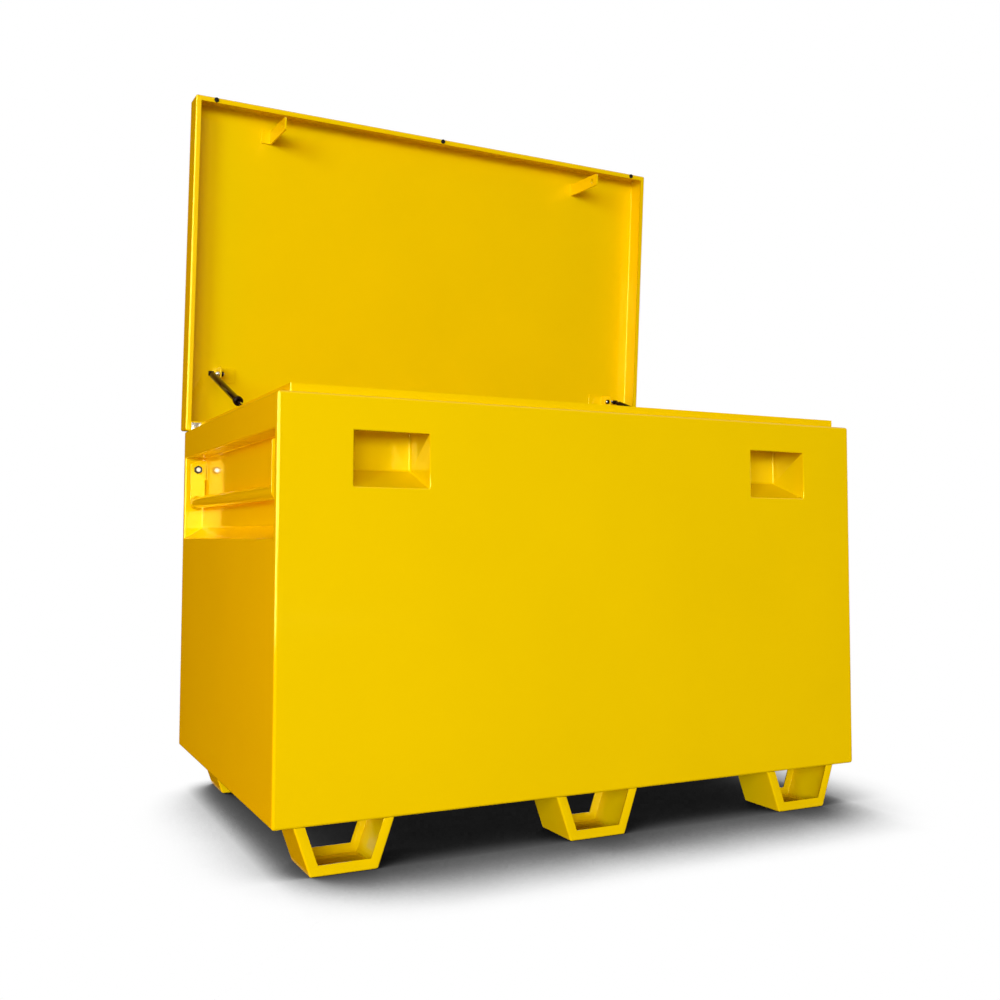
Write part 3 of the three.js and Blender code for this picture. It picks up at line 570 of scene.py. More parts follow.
def handle_recess(mesh, body, low, high, side):
    """Presses the handle recess into one end and slopes its shelf."""
    ceiling = high.z - body.recess_below_top
    shelf = ceiling - body.recess_height
    spans = ((Y_AXIS, (low.y + body.recess_end, high.y - body.recess_end)), (Z_AXIS, (shelf, ceiling)))
    back = cut_window(mesh, X_AXIS * side, lambda place: abs(place.x) > high.x - MM, spans)
    push(mesh, back, -body.recess_depth)
    for vert in {vert for face in back for vert in face.verts}:
        if vert.co.z < (shelf + ceiling) / 2:
            vert.co.z += body.shelf_rise
    mesh.normal_update()


def pocket_middle(body, high, side):
    return side * (high.x - body.pocket_from_end) + body.pocket_shift


def lock_pocket(mesh, body, tab, low, high, side):
    """Presses one lock pocket into the front, with its sloped floor and its higher ceiling."""
    middle = pocket_middle(body, high, side)
    top = high.z - body.pocket_below_top
    bottom = top - body.pocket_height
    xs = (middle - body.pocket_width / 2, middle + body.pocket_width / 2)
    back_y = low.y + body.pocket_depth
    back = cut_window(mesh, -Y_AXIS, lambda place: place.y < low.y + MM, ((X_AXIS, xs), (Z_AXIS, (bottom, top))))
    push(mesh, back, -body.pocket_depth)
    for vert in {vert for face in back for vert in face.verts}:
        if vert.co.z < (bottom + top) / 2:
            vert.co.z += body.pocket_floor_rise
    mesh.normal_update()

    def over(place):
        return xs[0] < place.x < xs[1] and abs(place.z - top) < MM and place.y < back_y

    cut(mesh, looking(mesh, -Z_AXIS, over), Y_AXIS * (low.y + body.lintel), Y_AXIS)
    mesh.normal_update()
    ceiling = looking(mesh, -Z_AXIS, lambda place: over(place) and place.y > low.y + body.lintel)
    push(mesh, ceiling, -body.housing_rise)
    tab_low, tab_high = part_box(f"{'left' if side < 0 else 'right'}_lock_tab")
    inner_face = tab_high.x if side < 0 else tab_low.x
    tab_x = inner_face + side * tab / 2
    tab_y = low.y + body.slot_from_front
    housing = top + body.housing_rise

    def overhead(place):
        return xs[0] < place.x < xs[1] and abs(place.z - housing) < MM

    spans = (
        (X_AXIS, (tab_x - body.slot_width / 2, tab_x + body.slot_width / 2)),
        (Y_AXIS, (tab_y - body.slot_length / 2, tab_y + body.slot_length / 2)),
    )
    slot = cut_window(mesh, -Z_AXIS, overhead, spans)
    bmesh.ops.delete(mesh, geom=slot, context="FACES")


def body_rim(mesh, body, low, high, rim_top):
    """Raises the upstand inside the shoulder and opens the mouth."""
    xs = (low.x + body.side_shoulder, high.x - body.side_shoulder)
    ys = (low.y + body.front_shoulder, high.y - body.rear_shoulder)
    mouth = cut_window(mesh, Z_AXIS, None, ((X_AXIS, xs), (Y_AXIS, ys)))
    push(mesh, mouth, rim_top - high.z)
    bmesh.ops.delete(mesh, geom=mouth, context="FACES")
    mesh.normal_update()


def body_fold_groups(mesh, body, low, high):
    """Sharp edges of the main folds, and those of the windows and the rim, which are tighter."""
    top = high.z - body.pocket_below_top
    xs = (low.x + body.side_shoulder, high.x - body.side_shoulder)
    ys = (low.y + body.front_shoulder, high.y - body.rear_shoulder)
    wide = []
    tight = []
    for edge in mesh.edges:
        if not folded(edge, 0.8):
            continue
        ends = [vert.co for vert in edge.verts]
        middle = (ends[0] + ends[1]) / 2
        in_pocket = abs(middle.x) < high.x - body.pocket_from_end / 3 and middle.y < low.y + body.pocket_depth + MM
        in_pocket = in_pocket and low.z + body.sheet < middle.z < high.z - body.sheet
        rim = middle.z > high.z - MM and xs[0] - MM < middle.x < xs[1] + MM and ys[0] - MM < middle.y < ys[1] + MM
        if rim:
            tight.append(edge)
        elif in_pocket and all(end.y < low.y + MM for end in ends):
            tight.append(edge)
        elif in_pocket and middle.z > top - MM and abs(ends[0].z - ends[1].z) < MM:
            continue
        elif in_pocket and middle.z > top and middle.y < low.y + 2 * body.lintel:
            continue
        else:
            wide.append(edge)
    return wide, tight


def on_corner(edge, low, high):
    """True for an edge of the body's outer block."""
    middle = (edge.verts[0].co + edge.verts[1].co) / 2
    return sum(min(abs(middle[i] - low[i]), abs(middle[i] - high[i])) < MM / 10 for i in range(3)) > 1


def make_body(body, tab):
    low, high, rim_top = body_places(body)
    mesh = between(low, high)
    for name, side in SIDES:
        handle_recess(mesh, body, low, high, side)
        lock_pocket(mesh, body, tab, low, high, side)
    body_rim(mesh, body, low, high, rim_top)
    wide, tight = body_fold_groups(mesh, body, low, high)
    outer = [edge for edge in wide if on_corner(edge, low, high)]
    round_edges(mesh, outer, body.bend, 5, False)
    wide, tight = body_fold_groups(mesh, body, low, high)
    round_edges(mesh, wide, body.inner_bend, 4, False)
    wide, tight = body_fold_groups(mesh, body, low, high)
    round_edges(mesh, tight, body.window_bend, 3, False)
    nodes = ["front_panel", "rear_panel", "left_panel", "right_panel", "floor_panel", "top_rim"]
    nodes += [f"{name}_lock_pocket" for name, side in SIDES]
    solid_piece("welded_body", mesh, "yellow_paint", "body", nodes, body.sheet)


class MakeBody(bpy.types.Operator):
    """Makes the welded body with its recesses, lock pockets and rim"""
    bl_idname = "storage_box.make_body"
    bl_label = "Body"

    def execute(self, context):
        make_body(context.scene.box_body, context.scene.box_lid.tab_thickness)
        return {"FINISHED"}


# Feet

def make_foot(foot, node):
    """Bent channel with in-turned flanges at the front and rear."""
    low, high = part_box(node)
    middle = (low.x + high.x) / 2
    height = high.z - low.z
    mesh = between(low, high)
    for vert in mesh.verts:
        if vert.co.z < low.z + height / 2:
            vert.co.x = middle + math.copysign(foot.sole_half, vert.co.x - middle)
    mesh.normal_update()
    bmesh.ops.delete(mesh, geom=looking(mesh, Z_AXIS), context="FACES")
    lean = (high.x - middle - foot.sole_half) / height
    slope = math.hypot(1, lean)
    planes = [(Vector((middle, 0, low.z + foot.flange)), Z_AXIS)]
    for side in (-1, 1):
        edge = Vector((middle + side * (foot.sole_half - foot.flange * slope), 0, low.z))
        planes.append((edge, Vector((side, 0, -lean))))

    def over(place):
        return all((place - point).dot(normal) * (1 if normal is Z_AXIS else -1) > 0 for point, normal in planes)

    for end, side in ENDS:
        for point, normal in planes:
            cut(mesh, looking(mesh, Y_AXIS * side), point, normal)
        mesh.normal_update()
        bmesh.ops.delete(mesh, geom=looking(mesh, Y_AXIS * side, over), context="FACES")
    round_edges(mesh, [edge for edge in mesh.edges if folded(edge)], foot.bend, 4, False)
    solid_piece(f"{node}_channel", mesh, "yellow_paint", "body", [node], foot.sheet)


class MakeFeet(bpy.types.Operator):
    """Makes the six channel feet"""
    bl_idname = "storage_box.make_feet"
    bl_label = "Feet"

    def execute(self, context):
        for end, side in ENDS:
            for column in ("left", "middle", "right"):
                make_foot(context.scene.box_foot, f"{end}_{column}_foot")
        return {"FINISHED"}


# Drop handles

def upright_plate(outline, ys, holes=()):
    """Plate whose outline is given in X and Z, between two places along Y."""
    mesh = plate(outline, ys[1] - ys[0], holes)
    stand = Matrix(((1, 0, 0, 0), (0, 0, 1, ys[0]), (0, 1, 0, 0), (0, 0, 0, 1)))
    moved(mesh, stand)
    bmesh.ops.recalc_face_normals(mesh, faces=mesh.faces)
    mesh.normal_update()
    return mesh


def make_arm(handle, name, end, pivot):
    node = f"{name}_handle_{end}_arm"
    low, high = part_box(node)
    half = handle.arm_width / 2
    outline = (
        (pivot.x - half, low.z, half),
        (pivot.x + half, low.z, half),
        (pivot.x + half, high.z, handle.arm_corner),
        (pivot.x - half, high.z, handle.arm_corner),
    )
    mesh = upright_plate(outline, (low.y, high.y))
    round_sharp(mesh, 0.9 * MM)
    solid_piece(f"{name}_handle_{end}_strap", mesh, "yellow_paint", f"{name}_handle", [node])


def make_bar(handle, name, pivot):
    """Round bar with a weld at each end."""
    node = f"{name}_handle_bar"
    low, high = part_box(node)
    reach = high.y - low.y
    radius = handle.bar_radius
    weld = handle.weld
    profile = [(0.0, 0.0), (radius + weld, 0.0), (radius + weld / 3, weld / 2), (radius, weld * 1.3)]
    far = [(r, reach - height) for r, height in reversed(profile)]
    mesh = turned(profile + far, 64)
    middle = Vector(((low.x + high.x) / 2, low.y, (low.z + high.z) / 2))
    moved(mesh, Matrix.Translation(middle) @ ALONG_Y)
    solid_piece(f"{name}_handle_grip", mesh, "yellow_paint", f"{name}_handle", [node])


def make_lug(handle, name, side, end):
    node = f"{name}_{end}_handle_lug"
    low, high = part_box(node)
    wall = high.x if side < 0 else low.x
    tip = low.x if side < 0 else high.x
    wall += side * -0.2 * MM
    outline = (
        (wall, low.z, 0.0),
        (tip, low.z, handle.lug_corner),
        (tip, high.z, handle.lug_corner),
        (wall, high.z, 0.0),
    )
    mesh = upright_plate(outline, (low.y, high.y))
    round_sharp(mesh, 0.8 * MM)
    solid_piece(f"{name}_{end}_hanger", mesh, "yellow_paint", "body", [node])


def make_bolt(handle, name, end, outward, pivot):
    """Bolt through the arm and lug, its head on the arm's inner side."""
    node = f"{name}_{end}_pivot_bolt"
    low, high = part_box(node)
    reach = high.y - low.y
    head = hexagon(handle.head_flats, handle.head_height, handle.head_chamfer)
    flip = Matrix.Translation((0.0, 0.0, handle.head_height)) @ Matrix.Rotation(math.pi, 4, "X")
    moved(head, flip)
    shank = turned([
        (0.0, handle.head_height),
        (handle.shank_radius, handle.head_height),
        (handle.shank_radius, reach - MM),
        (handle.shank_radius - MM, reach),
        (0.0, reach),
    ], 40)
    mesh = join(head, shank)
    turn = ALONG_Y if outward > 0 else Matrix.Rotation(math.radians(90), 4, "X")
    start = low.y if outward > 0 else high.y
    moved(mesh, Matrix.Translation((pivot.x, start, pivot.z)) @ turn)
    solid_piece(f"{name}_{end}_hex_bolt", mesh, "plated_bolt", "body", [node])


def make_nut(handle, name, end, outward, pivot):
    node = f"{name}_{end}_pivot_nut"
    low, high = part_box(node)
    mesh = hexagon(handle.nut_flats, high.y - low.y, handle.nut_chamfer)
    turn = ALONG_Y if outward > 0 else Matrix.Rotation(math.radians(90), 4, "X")
    start = low.y if outward > 0 else high.y
    moved(mesh, Matrix.Translation((pivot.x, start, pivot.z)) @ turn)
    solid_piece(f"{name}_{end}_lock_nut", mesh, "plated_bolt", "body", [node])


class MakeHandles(bpy.types.Operator):
    """Makes the two drop handles with their lugs, bolts and nuts"""
    bl_idname = "storage_box.make_handles"
    bl_label = "Drop handles"

    def execute(self, context):
        handle = context.scene.box_handle
        for name, side in SIDES:
            pivot = Vector(JOINTS[f"{name}_handle_hinge"]["pos_m"])
            make_bar(handle, name, pivot)
            for end, outward in ENDS:
                make_arm(handle, name, end, pivot)
                make_lug(handle, name, side, end)
                make_bolt(handle, name, end, outward, pivot)
                make_nut(handle, name, end, outward, pivot)
        return {"FINISHED"}


# Lid

def closed_box(node):
    """Corners of one of the lid's nodes with the lid closed, about the hinge axis."""
    back = SWUNG_OPEN.inverted()
    places = [back @ vert.co for vert in frame["nodes"][node].data.vertices]
    low = Vector([min(place[i] for place in places) for i in range(3)])
    high = Vector([max(place[i] for place in places) for i in range(3)])
    return low, high


def make_tray(lid, body):
    """Lid tray with turned-down flanges and a return lip all round."""
    low, high = closed_box("lid_pan")
    mesh = between(low, high)
    spans = (
        (X_AXIS, (low.x + lid.side_lip, high.x - lid.side_lip)),
        (Y_AXIS, (low.y + lid.front_lip, high.y - lid.rear_lip)),
    )
    mouth = cut_window(mesh, -Z_AXIS, None, spans)
    bmesh.ops.delete(mesh, geom=mouth, context="FACES")
    mesh.normal_update()
    round_edges(mesh, [edge for edge in mesh.edges if folded(edge)], lid.bend, 4, False)
    moved(mesh, SWUNG_OPEN)
    solid_piece("lid_tray", mesh, "yellow_paint", "lid", ["lid_pan"], body.sheet)


def make_bumper(lid, node):
    low, high = closed_box(node)
    middle = (low + high) / 2
    seat = high.z - lid.bumper_stem
    rounding = lid.bumper_round
    radius = lid.bumper_radius
    mesh = turned([
        (0.0, low.z),
        (radius - rounding, low.z),
        (radius - rounding * 0.3, low.z + rounding * 0.3),
        (radius, low.z + rounding),
        (radius, seat),
        (radius / 2, seat),
        (radius / 2, high.z),
        (0.0, high.z),
    ], 40)
    moved(mesh, SWUNG_OPEN @ Matrix.Translation((middle.x, middle.y, 0.0)))
    solid_piece(f"{node}_stop", mesh, "black_rubber", "lid", [node])


def standing_plate(outline, xs, holes=()):
    """Plate whose outline is given in Y and Z, between two places along X."""
    mesh = plate(outline, xs[1] - xs[0], holes)
    stand = Matrix(((0, 0, 1, xs[0]), (1, 0, 0, 0), (0, 1, 0, 0), (0, 0, 0, 1)))
    moved(mesh, stand)
    bmesh.ops.recalc_face_normals(mesh, faces=mesh.faces)
    mesh.normal_update()
    return mesh


def make_lock_tab(lid, name, side):
    node = f"{name}_lock_tab"
    low, high = closed_box(node)
    inner = high.x if side < 0 else low.x
    xs = sorted((inner, inner + side * lid.tab_thickness))
    outline = (
        (low.y, high.z, 0.0),
        (low.y, low.z, lid.tab_corner),
        (high.y, low.z, lid.tab_corner),
        (high.y, high.z, 0.0),
    )
    middle = (low.y + high.y) / 2
    web = standing_plate(outline, xs, ((middle, low.z + lid.tab_hole_from_tip, lid.tab_hole),))
    round_sharp(web, 0.7 * MM)
    outer = inner + side * lid.tab_thickness
    foot = between((min(outer, outer + side * lid.tab_foot), low.y, high.z - lid.tab_thickness),
                   (max(outer, outer + side * lid.tab_foot), high.y, high.z))
    round_sharp(foot, 0.7 * MM)
    mesh = moved(join(web, foot), SWUNG_OPEN)
    solid_piece(f"{name}_lock_tab_plate", mesh, "yellow_paint", "lid", [node])


class MakeLid(bpy.types.Operator):
    """Makes the lid tray, its bumpers and its lock tabs"""
    bl_idname = "storage_box.make_lid"
    bl_label = "Lid"

    def execute(self, context):
        lid = context.scene.box_lid
        make_tray(lid, context.scene.box_body)
        for place in ("left", "middle", "right"):
            make_bumper(lid, f"{place}_lid_bumper")
        for name, side in SIDES:
            make_lock_tab(lid, name, side)
        return {"FINISHED"}


# Strip hinge

def make_leaf(hinge, node, body, direction, first):
    """Leaf with every other knuckle and a row of flush rivets, made about the hinge axis."""
    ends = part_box("hinge_pin")
    start = ends[0].x
    pitch = (ends[1].x - start) / (2 * hinge.knuckle_pairs)
    near = direction * hinge.leaf_gap / 2
    far = near + direction * hinge.leaf_thickness
    zs = sorted((near, far))
    root = -hinge.knuckle_radius - hinge.knuckle_play
    mesh = between((start, -hinge.leaf_width, zs[0]), (ends[1].x, root, zs[1]))
    for i in range(first, 2 * hinge.knuckle_pairs, 2):
        x0 = start + i * pitch + hinge.knuckle_play / 2
        x1 = x0 + pitch - hinge.knuckle_play
        add_block(mesh, (x0, root - MM, zs[0]), (x1, -hinge.pin_radius - MM, zs[1]))
        ring = turned([
            (hinge.pin_radius + 0.3 * MM, x0),
            (hinge.knuckle_radius, x0),
            (hinge.knuckle_radius, x1),
            (hinge.pin_radius + 0.3 * MM, x1),
            (hinge.pin_radius + 0.3 * MM, x0),
        ], 20)
        join(mesh, moved(ring, ALONG_X))
    step = (ends[1].x - start) / hinge.rivets
    for i in range(hinge.rivets):
        head = turned([
            (0.0, 0.3 * MM),
            (hinge.rivet_radius * 0.4, 0.3 * MM),
            (hinge.rivet_radius * 0.4, -0.15 * MM),
            (hinge.rivet_radius * 0.85, -0.2 * MM),
            (hinge.rivet_radius, 0.0),
            (hinge.rivet_radius, 0.4 * MM),
            (0.0, 0.4 * MM),
        ], 24)
        if direction < 0:
            moved(head, Matrix.Rotation(math.pi, 4, "X"))
        place = (start + (i + 0.27) * step, -hinge.leaf_width * 0.6, near)
        join(mesh, moved(head, Matrix.Translation(place)))
    moved(mesh, SWUNG_OPEN if body == "lid" else Matrix.Translation(HINGE))
    solid_piece(f"{node}_strip", mesh, "zinc_plate", body, [node])


class MakeHinge(bpy.types.Operator):
    """Makes the strip hinge: two leaves and the pin"""
    bl_idname = "storage_box.make_hinge"
    bl_label = "Strip hinge"

    def execute(self, context):
        hinge = context.scene.box_hinge
        make_leaf(hinge, "hinge_body_leaf", "body", -1, 0)
        make_leaf(hinge, "hinge_lid_leaf", "lid", 1, 1)
        low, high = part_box("hinge_pin")
        pin = turned([(0.0, low.x), (hinge.pin_radius, low.x), (hinge.pin_radius, high.x), (0.0, high.x)], 20)
        moved(pin, Matrix.Translation(HINGE) @ ALONG_X)
        solid_piece("hinge_pin_rod", pin, "zinc_plate", "body", ["hinge_pin"])
        return {"FINISHED"}


# Gas struts

def strut_places(name):
    """The lid ball, the direction up the strut, and the strut's length."""
    upper = Vector(JOINTS[f"{name}_strut_pivot"]["pos_m"])
    along = Vector(JOINTS[f"{name}_strut_slide"]["axis"]).normalized()
    low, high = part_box(f"{name}_body_ball_stud")
    lower = (low + high) / 2
    lower.x = upper.x
    return upper, along, (upper - lower).length


def strut_matrix(upper, along):
    """Turns a piece made about Z, which rises down the strut, to its place from the lid ball."""
    angle = math.atan2(along.z, along.y)
    return Matrix.Translation(upper) @ Matrix.Rotation(angle + math.radians(90), 4, "X")


def make_cylinder(strut, name, matrix):
    reach = strut.socket_reach
    end = reach + strut.cylinder_length
    radius = strut.cylinder_radius
    collar = end - strut.collar_length
    rounding = strut.collar_round
    mesh = turned([
        (0.0, reach),
        (radius * 0.6, reach),
        (radius * 0.78, reach + strut.dome / 4),
        (radius, reach + strut.dome),
        (radius, collar),
        (strut.collar_radius - rounding * 0.7, collar + rounding * 0.3),
        (strut.collar_radius, collar + rounding),
        (strut.collar_radius, end - rounding),
        (strut.collar_radius - rounding * 0.7, end),
        (strut.seal_radius, end),
        (strut.seal_radius, end - strut.seal_depth),
        (strut.rod_radius + strut.rod_play, end - strut.seal_depth),
        (strut.rod_radius + strut.rod_play, end - strut.bore_depth),
        (0.0, end - strut.bore_depth),
    ])
    moved(mesh, matrix)
    solid_piece(f"{name}_strut_tube", mesh, "black_steel", f"{name}_strut_cylinder", [f"{name}_strut_cylinder"])


def make_rod(strut, name, matrix, reach):
    start = strut.socket_reach + strut.cylinder_length - strut.rod_overlap
    end = reach - strut.socket_reach
    radius = strut.rod_radius
    mesh = turned([(0.0, start), (radius, start), (radius, end - MM), (radius - MM, end), (0.0, end)])
    moved(mesh, matrix)
    solid_piece(f"{name}_strut_plunger", mesh, "polished_rod", f"{name}_strut_rod", [f"{name}_strut_rod"])


def make_socket(strut, name, end, body, matrix, place, towards, cup_side):
    """Ball socket: a round cup across the strut and a tail towards it."""
    radius = strut.socket_radius
    lip = 1.2 * MM
    cup = turned([
        (0.0, -radius),
        (radius - lip, -radius),
        (radius, lip - radius),
        (radius, radius - lip),
        (radius - lip, radius),
        (strut.ball_radius + 0.4 * MM, radius),
        (strut.ball_radius + 0.4 * MM, -radius / 2),
        (0.0, -radius / 2),
    ], 40)
    moved(cup, Matrix.Translation((0.0, 0.0, place)) @ Matrix.Rotation(math.radians(90 * cup_side), 4, "Y"))
    tail_start = radius * 0.7
    tail = turned([
        (0.0, tail_start),
        (strut.tail_radius, tail_start),
        (strut.tail_radius, strut.socket_reach - 1.2 * MM),
        (strut.tail_radius - MM, strut.socket_reach - 0.3 * MM),
        (0.0, strut.socket_reach - 0.3 * MM),
    ], 32)
    if towards < 0:
        moved(tail, Matrix.Rotation(math.pi, 4, "X"))
    moved(tail, Matrix.Translation((0.0, 0.0, place)))
    mesh = moved(join(cup, tail), matrix)
    solid_piece(f"{name}_{end}_ball_socket", mesh, "black_steel", body, [f"{name}_strut_{end}_socket"])


def make_stud(strut, node, side, towards, body):
    """Ball, neck, collar and threaded end along X. Towards is the direction from the ball to its bracket."""
    low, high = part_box(node)
    reach = high.x - low.x
    middle = (low + high) / 2
    radius = strut.ball_radius
    ball = bmesh.new()
    bmesh.ops.create_uvsphere(ball, u_segments=32, v_segments=20, radius=radius,
                              matrix=Matrix.Translation((0.0, 0.0, radius)))
    bracket = radius + (strut.lid_stud_reach if body == "lid" else strut.body_stud_reach)
    stem = turned([
        (0.0, radius),
        (strut.neck_radius, radius),
        (strut.neck_radius, bracket - strut.shoulder_depth - MM / 2),
        (strut.shoulder_radius, bracket - strut.shoulder_depth),
        (strut.shoulder_radius, bracket),
        (strut.shank_radius, bracket),
        (strut.shank_radius, reach - MM),
        (strut.shank_radius - MM, reach),
        (0.0, reach),
    ], 32)
    mesh = join(ball, stem)
    start = low.x if towards > 0 else high.x
    turn = Matrix.Rotation(math.radians(90 * towards), 4, "Y")
    moved(mesh, Matrix.Translation((start, middle.y, middle.z)) @ turn)
    solid_piece(f"{node}_pin", mesh, "zinc_plate", body, [node])


def make_stud_nut(strut, name, side):
    node = f"{name}_lid_stud_nut"
    low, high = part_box(node)
    middle = (low + high) / 2
    mesh = hexagon(strut.nut_flats, high.x - low.x, MM)
    start = high.x if side > 0 else low.x
    turn = Matrix.Rotation(math.radians(-90 * side), 4, "Y")
    moved(mesh, Matrix.Translation((start, middle.y, middle.z)) @ turn)
    solid_piece(f"{node}_hexagon", mesh, "black_steel", "lid", [node])


def make_lid_bracket(strut, name, side):
    """Angle bracket under the lid: a rounded web for the stud and a broad welded foot."""
    node = f"{name}_lid_strut_bracket"
    low, high = closed_box(node)
    outer = low.x if side < 0 else high.x
    inner = high.x if side < 0 else low.x
    sheet = strut.bracket_sheet
    outline = (
        (low.y, high.z, 0.0),
        (low.y, low.z, strut.bracket_corner),
        (high.y, low.z, strut.bracket_corner),
        (high.y, high.z, 0.0),
    )
    web = standing_plate(outline, sorted((outer, outer - side * sheet)))
    round_sharp(web, 0.9 * MM)
    start = outer - side * sheet
    foot = between((min(start, inner), low.y, high.z - sheet), (max(start, inner), high.y, high.z))
    round_sharp(foot, 0.9 * MM)
    mesh = moved(join(web, foot), SWUNG_OPEN)
    solid_piece(f"{node}_angle", mesh, "yellow_paint", "lid", [node])


def make_body_bracket(strut, name, side):
    node = f"{name}_body_strut_bracket"
    low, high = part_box(node)
    inner = high.x if side < 0 else low.x
    outer = low.x if side < 0 else high.x
    sheet = strut.bracket_sheet
    outline = (
        (low.y, low.z, 0.0),
        (high.y, low.z, 0.0),
        (high.y, high.z, strut.bracket_corner),
        (low.y, high.z, strut.bracket_corner),
    )
    web = standing_plate(outline, sorted((inner, inner + side * sheet)))
    round_sharp(web, 0.9 * MM)
    start = inner + side * sheet
    foot = between((min(start, outer), low.y, low.z), (max(start, outer), high.y, low.z + sheet))
    round_sharp(foot, 0.9 * MM)
    solid_piece(f"{node}_angle", join(web, foot), "yellow_paint", "body", [node])


class MakeStruts(bpy.types.Operator):
    """Makes the gas struts with their sockets, studs and brackets"""
    bl_idname = "storage_box.make_struts"
    bl_label = "Gas struts"

    def execute(self, context):
        strut = context.scene.box_strut
        for name, side in SIDES:
            upper, along, reach = strut_places(name)
            matrix = strut_matrix(upper, along)
            make_cylinder(strut, name, matrix)
            make_rod(strut, name, matrix, reach)
            make_socket(strut, name, "lid", f"{name}_strut_cylinder", matrix, 0.0, 1, -side)
            make_socket(strut, name, "body", f"{name}_strut_rod", matrix, reach, -1, side)
            make_stud(strut, f"{name}_lid_ball_stud", side, -side, "lid")
            make_stud(strut, f"{name}_body_ball_stud", side, side, "body")
            make_stud_nut(strut, name, side)
            make_lid_bracket(strut, name, side)
            make_body_bracket(strut, name, side)
        return {"FINISHED"}


# Stage

# How bright the floor is where this share of the sky above it is open
FLOOR_SHADE_SHARES = (
    (0.20, 0.004),
    (0.25, 0.03),
    (0.40, 0.09),
    (0.47, 0.155),
    (0.53, 0.29),
    (0.64, 0.60),
    (0.72, 0.86),
    (0.80, 1.0),
)


# Where each lamp stands, what it is turned to, and its width and height
LAMPS = (
    ("key", (-4.2, -10.0, 1.9), (-0.1, -0.4, 1.1), (5.5, 2.4)),
    ("left", (-7.6, -6.4, 2.2), (-0.5, -0.4, 0.9), (2.8, 3.4)),
    ("side", (-4.6, -0.6, 0.4), (-0.7, 0.0, 0.35), (2.4, 0.8)),
    ("rear", (3.4, 4.6, 4.0), (0.3, 0.1, 0.9), (3.0, 2.0)),
)

# The same for the cards that only reflections see
CARDS = (
    ("left_card", (-3.4, -0.9, 1.6), (-0.7, -0.5, 0.9), (5.6, 3.0)),
    ("rear_flag", (0.0, 1.1, 1.9), (0.0, 0.0, 1.9), (10.6, 3.7)),
    ("front_flag", (4.4, -5.2, 2.2), (2.0, 0.0, 2.2), (8.0, 4.7)),
    ("floor_flag", (0.0, 0.0, 0.01), (0.0, 0.0, 1.0), (12.0, 12.0)),
)


def seen_directly(nodes, links):
    """One for camera, mirror and glass rays, which see the white background."""
    path = nodes.new("ShaderNodeLightPath")
    last = path.outputs["Is Camera Ray"]
    for ray in ("Is Glossy Ray", "Is Transmission Ray"):
        either = nodes.new("ShaderNodeMath")
        either.operation = "MAXIMUM"
        links.new(last, either.inputs[0])
        links.new(path.outputs[ray], either.inputs[1])
        last = either.outputs["Value"]
    return last


def make_floor(stage):
    """Pale floor that stays white to the camera except for the box's soft shade."""
    mesh = bmesh.new()
    bmesh.ops.create_grid(mesh, x_segments=1, y_segments=1, size=40.0)
    data = bpy.data.meshes.new("studio_floor")
    mesh.to_mesh(data)
    mesh.free()
    floor = bpy.data.objects.new("studio_floor", data)
    bpy.context.scene.collection.objects.link(floor)
    material, nodes, links, shader = new_material("studio_floor")
    shader.inputs["Base Color"].default_value = (stage.floor_grey, stage.floor_grey, stage.floor_grey, 1.0)
    shader.inputs["Roughness"].default_value = 1.0
    near = nodes.new("ShaderNodeAmbientOcclusion")
    near.samples = 32
    near.inputs["Distance"].default_value = stage.shadow_reach
    lean = nodes.new("ShaderNodeCombineXYZ")
    lean.inputs["X"].default_value = stage.shadow_lean[0]
    lean.inputs["Y"].default_value = stage.shadow_lean[1]
    lean.inputs["Z"].default_value = 1.0
    upright = nodes.new("ShaderNodeVectorMath")
    upright.operation = "NORMALIZE"
    links.new(lean.outputs["Vector"], upright.inputs[0])
    links.new(upright.outputs["Vector"], near.inputs["Normal"])
    ramp = nodes.new("ShaderNodeValToRGB")
    stops = ramp.color_ramp.elements
    while len(stops) < len(FLOOR_SHADE_SHARES):
        stops.new(0.5)
    for stop, (open_share, bright_share) in zip(stops, FLOOR_SHADE_SHARES):
        stop.position = open_share
        stop.color = (bright_share, bright_share, bright_share, 1.0)
    links.new(near.outputs["AO"], ramp.inputs["Fac"])
    glow = nodes.new("ShaderNodeEmission")
    links.new(ramp.outputs["Color"], glow.inputs["Color"])
    mix = nodes.new("ShaderNodeMixShader")
    links.new(seen_directly(nodes, links), mix.inputs["Fac"])
    links.new(shader.outputs["BSDF"], mix.inputs[1])
    links.new(glow.outputs["Emission"], mix.inputs[2])
    links.new(mix.outputs["Shader"], nodes["Material Output"].inputs["Surface"])
    data.materials.append(material)


def make_sky(stage):
    """Even light from all round, white to the camera and in reflections."""
    world = bpy.data.worlds.new("studio_sky")
    bpy.context.scene.world = world
    world.use_nodes = True
    nodes = world.node_tree.nodes
    links = world.node_tree.links
    light = nodes["Background"]
    light.inputs["Color"].default_value = (*stage.sky_tint, 1.0)
    light.inputs["Strength"].default_value = stage.sky
    white = nodes.new("ShaderNodeBackground")
    white.inputs["Color"].default_value = (1.0, 1.0, 1.0, 1.0)
    mix = nodes.new("ShaderNodeMixShader")
    links.new(seen_directly(nodes, links), mix.inputs["Fac"])
    links.new(light.outputs["Background"], mix.inputs[1])
    links.new(white.outputs["Background"], mix.inputs[2])
    links.new(mix.outputs["Shader"], nodes["World Output"].inputs["Surface"])


def aimed(place, target):
    """Places something that looks along its own -Z at a target."""
    turn = (Vector(target) - Vector(place)).to_track_quat("-Z", "Y")
    return Matrix.Translation(place) @ turn.to_matrix().to_4x4()


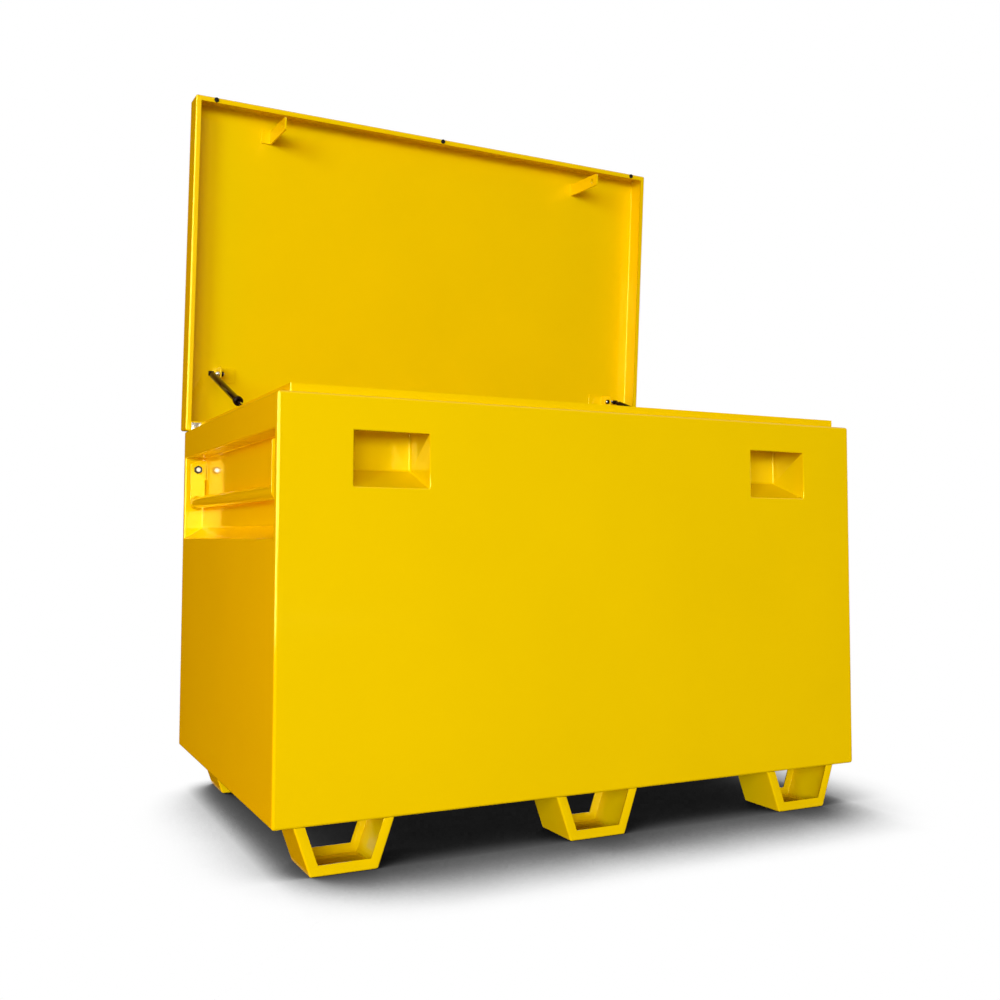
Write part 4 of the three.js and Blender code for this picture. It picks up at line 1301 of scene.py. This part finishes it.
def make_lamp(name, place, target, power, size, tint=(1.0, 1.0, 1.0)):
    data = bpy.data.lights.new(name, "AREA")
    data.shape = "RECTANGLE"
    data.size = size[0]
    data.size_y = size[1]
    data.energy = power
    data.color = tint
    lamp = bpy.data.objects.new(name, data)
    bpy.context.scene.collection.objects.link(lamp)
    lamp.matrix_world = aimed(place, target)
    lamp.visible_camera = False


def make_card(name, place, target, size, glow=0.0):
    """Panel that only reflections see: a dark one keeps the paint's colour, a glowing one lights its folds."""
    mesh = bmesh.new()
    bmesh.ops.create_grid(mesh, x_segments=1, y_segments=1, size=0.5)
    bmesh.ops.scale(mesh, vec=(size[0], size[1], 1.0), verts=mesh.verts)
    data = bpy.data.meshes.new(name)
    mesh.to_mesh(data)
    mesh.free()
    card = bpy.data.objects.new(name, data)
    bpy.context.scene.collection.objects.link(card)
    card.matrix_world = aimed(place, target)
    material, nodes, links, shader = new_material(name)
    light = nodes.new("ShaderNodeEmission")
    light.inputs["Strength"].default_value = glow
    links.new(light.outputs["Emission"], nodes["Material Output"].inputs["Surface"])
    nodes.remove(shader)
    data.materials.append(material)
    card.visible_camera = False
    card.visible_diffuse = False
    card.visible_transmission = False
    card.visible_shadow = False


def make_camera(stage):
    yaw = stage.camera_yaw
    pitch = stage.camera_pitch
    forward = Vector((math.sin(yaw) * math.cos(pitch), math.cos(yaw) * math.cos(pitch), math.sin(pitch)))
    right = Vector((math.cos(yaw), -math.sin(yaw), 0.0))
    up = right.cross(forward)
    rolled_right = right * math.cos(stage.camera_roll) + up * math.sin(stage.camera_roll)
    rolled_up = up * math.cos(stage.camera_roll) - right * math.sin(stage.camera_roll)
    data = bpy.data.cameras.new("photo_camera")
    data.sensor_width = 36.0
    data.lens = stage.lens
    data.shift_x = stage.shift_x
    data.shift_y = stage.shift_y
    data.clip_end = 200.0
    camera = bpy.data.objects.new("photo_camera", data)
    bpy.context.scene.collection.objects.link(camera)
    turn = Matrix((rolled_right, rolled_up, -forward)).transposed().to_4x4()
    camera.matrix_world = Matrix.Translation(stage.camera_place) @ turn
    bpy.context.scene.camera = camera


class MakeStage(bpy.types.Operator):
    """Makes the floor, the lights and the camera"""
    bl_idname = "storage_box.make_stage"
    bl_label = "Stage"

    def execute(self, context):
        stage = context.scene.box_stage
        make_floor(stage)
        make_sky(stage)
        for name, place, target, size in LAMPS:
            make_lamp(f"{name}_light", place, target, getattr(stage, f"{name}_power"), size,
                      getattr(stage, f"{name}_tint"))
        for name, place, target, size in CARDS:
            make_card(name, place, target, size, stage.card_glow if name == "left_card" else 0.0)
        make_camera(stage)
        context.scene.view_settings.view_transform = "Standard"
        return {"FINISHED"}


class StorageBoxPanel(bpy.types.Panel):
    """Lists the pieces of the storage box"""
    bl_idname = "VIEW3D_PT_storage_box"
    bl_label = "Storage box"
    bl_space_type = "VIEW_3D"
    bl_region_type = "UI"
    bl_category = "Storage box"

    def draw(self, context):
        for maker in MAKERS:
            self.layout.operator(maker.bl_idname)


SETTINGS = {
    "box_body": BodySettings,
    "box_foot": FootSettings,
    "box_handle": HandleSettings,
    "box_lid": LidSettings,
    "box_hinge": HingeSettings,
    "box_strut": StrutSettings,
    "box_finish": FinishSettings,
    "box_stage": StageSettings,
}
MAKERS = (MakeBody, MakeFeet, MakeHandles, MakeLid, MakeHinge, MakeStruts, MakeStage)


def register():
    for group in SETTINGS.values():
        bpy.utils.register_class(group)
    for maker in MAKERS:
        bpy.utils.register_class(maker)
    bpy.utils.register_class(StorageBoxPanel)
    for name, group in SETTINGS.items():
        setattr(bpy.types.Scene, name, PointerProperty(type=group))


def unregister():
    for name in SETTINGS:
        delattr(bpy.types.Scene, name)
    bpy.utils.unregister_class(StorageBoxPanel)
    for maker in reversed(MAKERS):
        bpy.utils.unregister_class(maker)
    for group in reversed(list(SETTINGS.values())):
        bpy.utils.unregister_class(group)


def main():
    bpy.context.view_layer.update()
    register()
    bpy.ops.storage_box.make_body()
    bpy.ops.storage_box.make_feet()
    bpy.ops.storage_box.make_handles()
    bpy.ops.storage_box.make_lid()
    bpy.ops.storage_box.make_hinge()
    bpy.ops.storage_box.make_struts()
    bpy.ops.storage_box.make_stage()


if __name__ == "__main__":
    main()
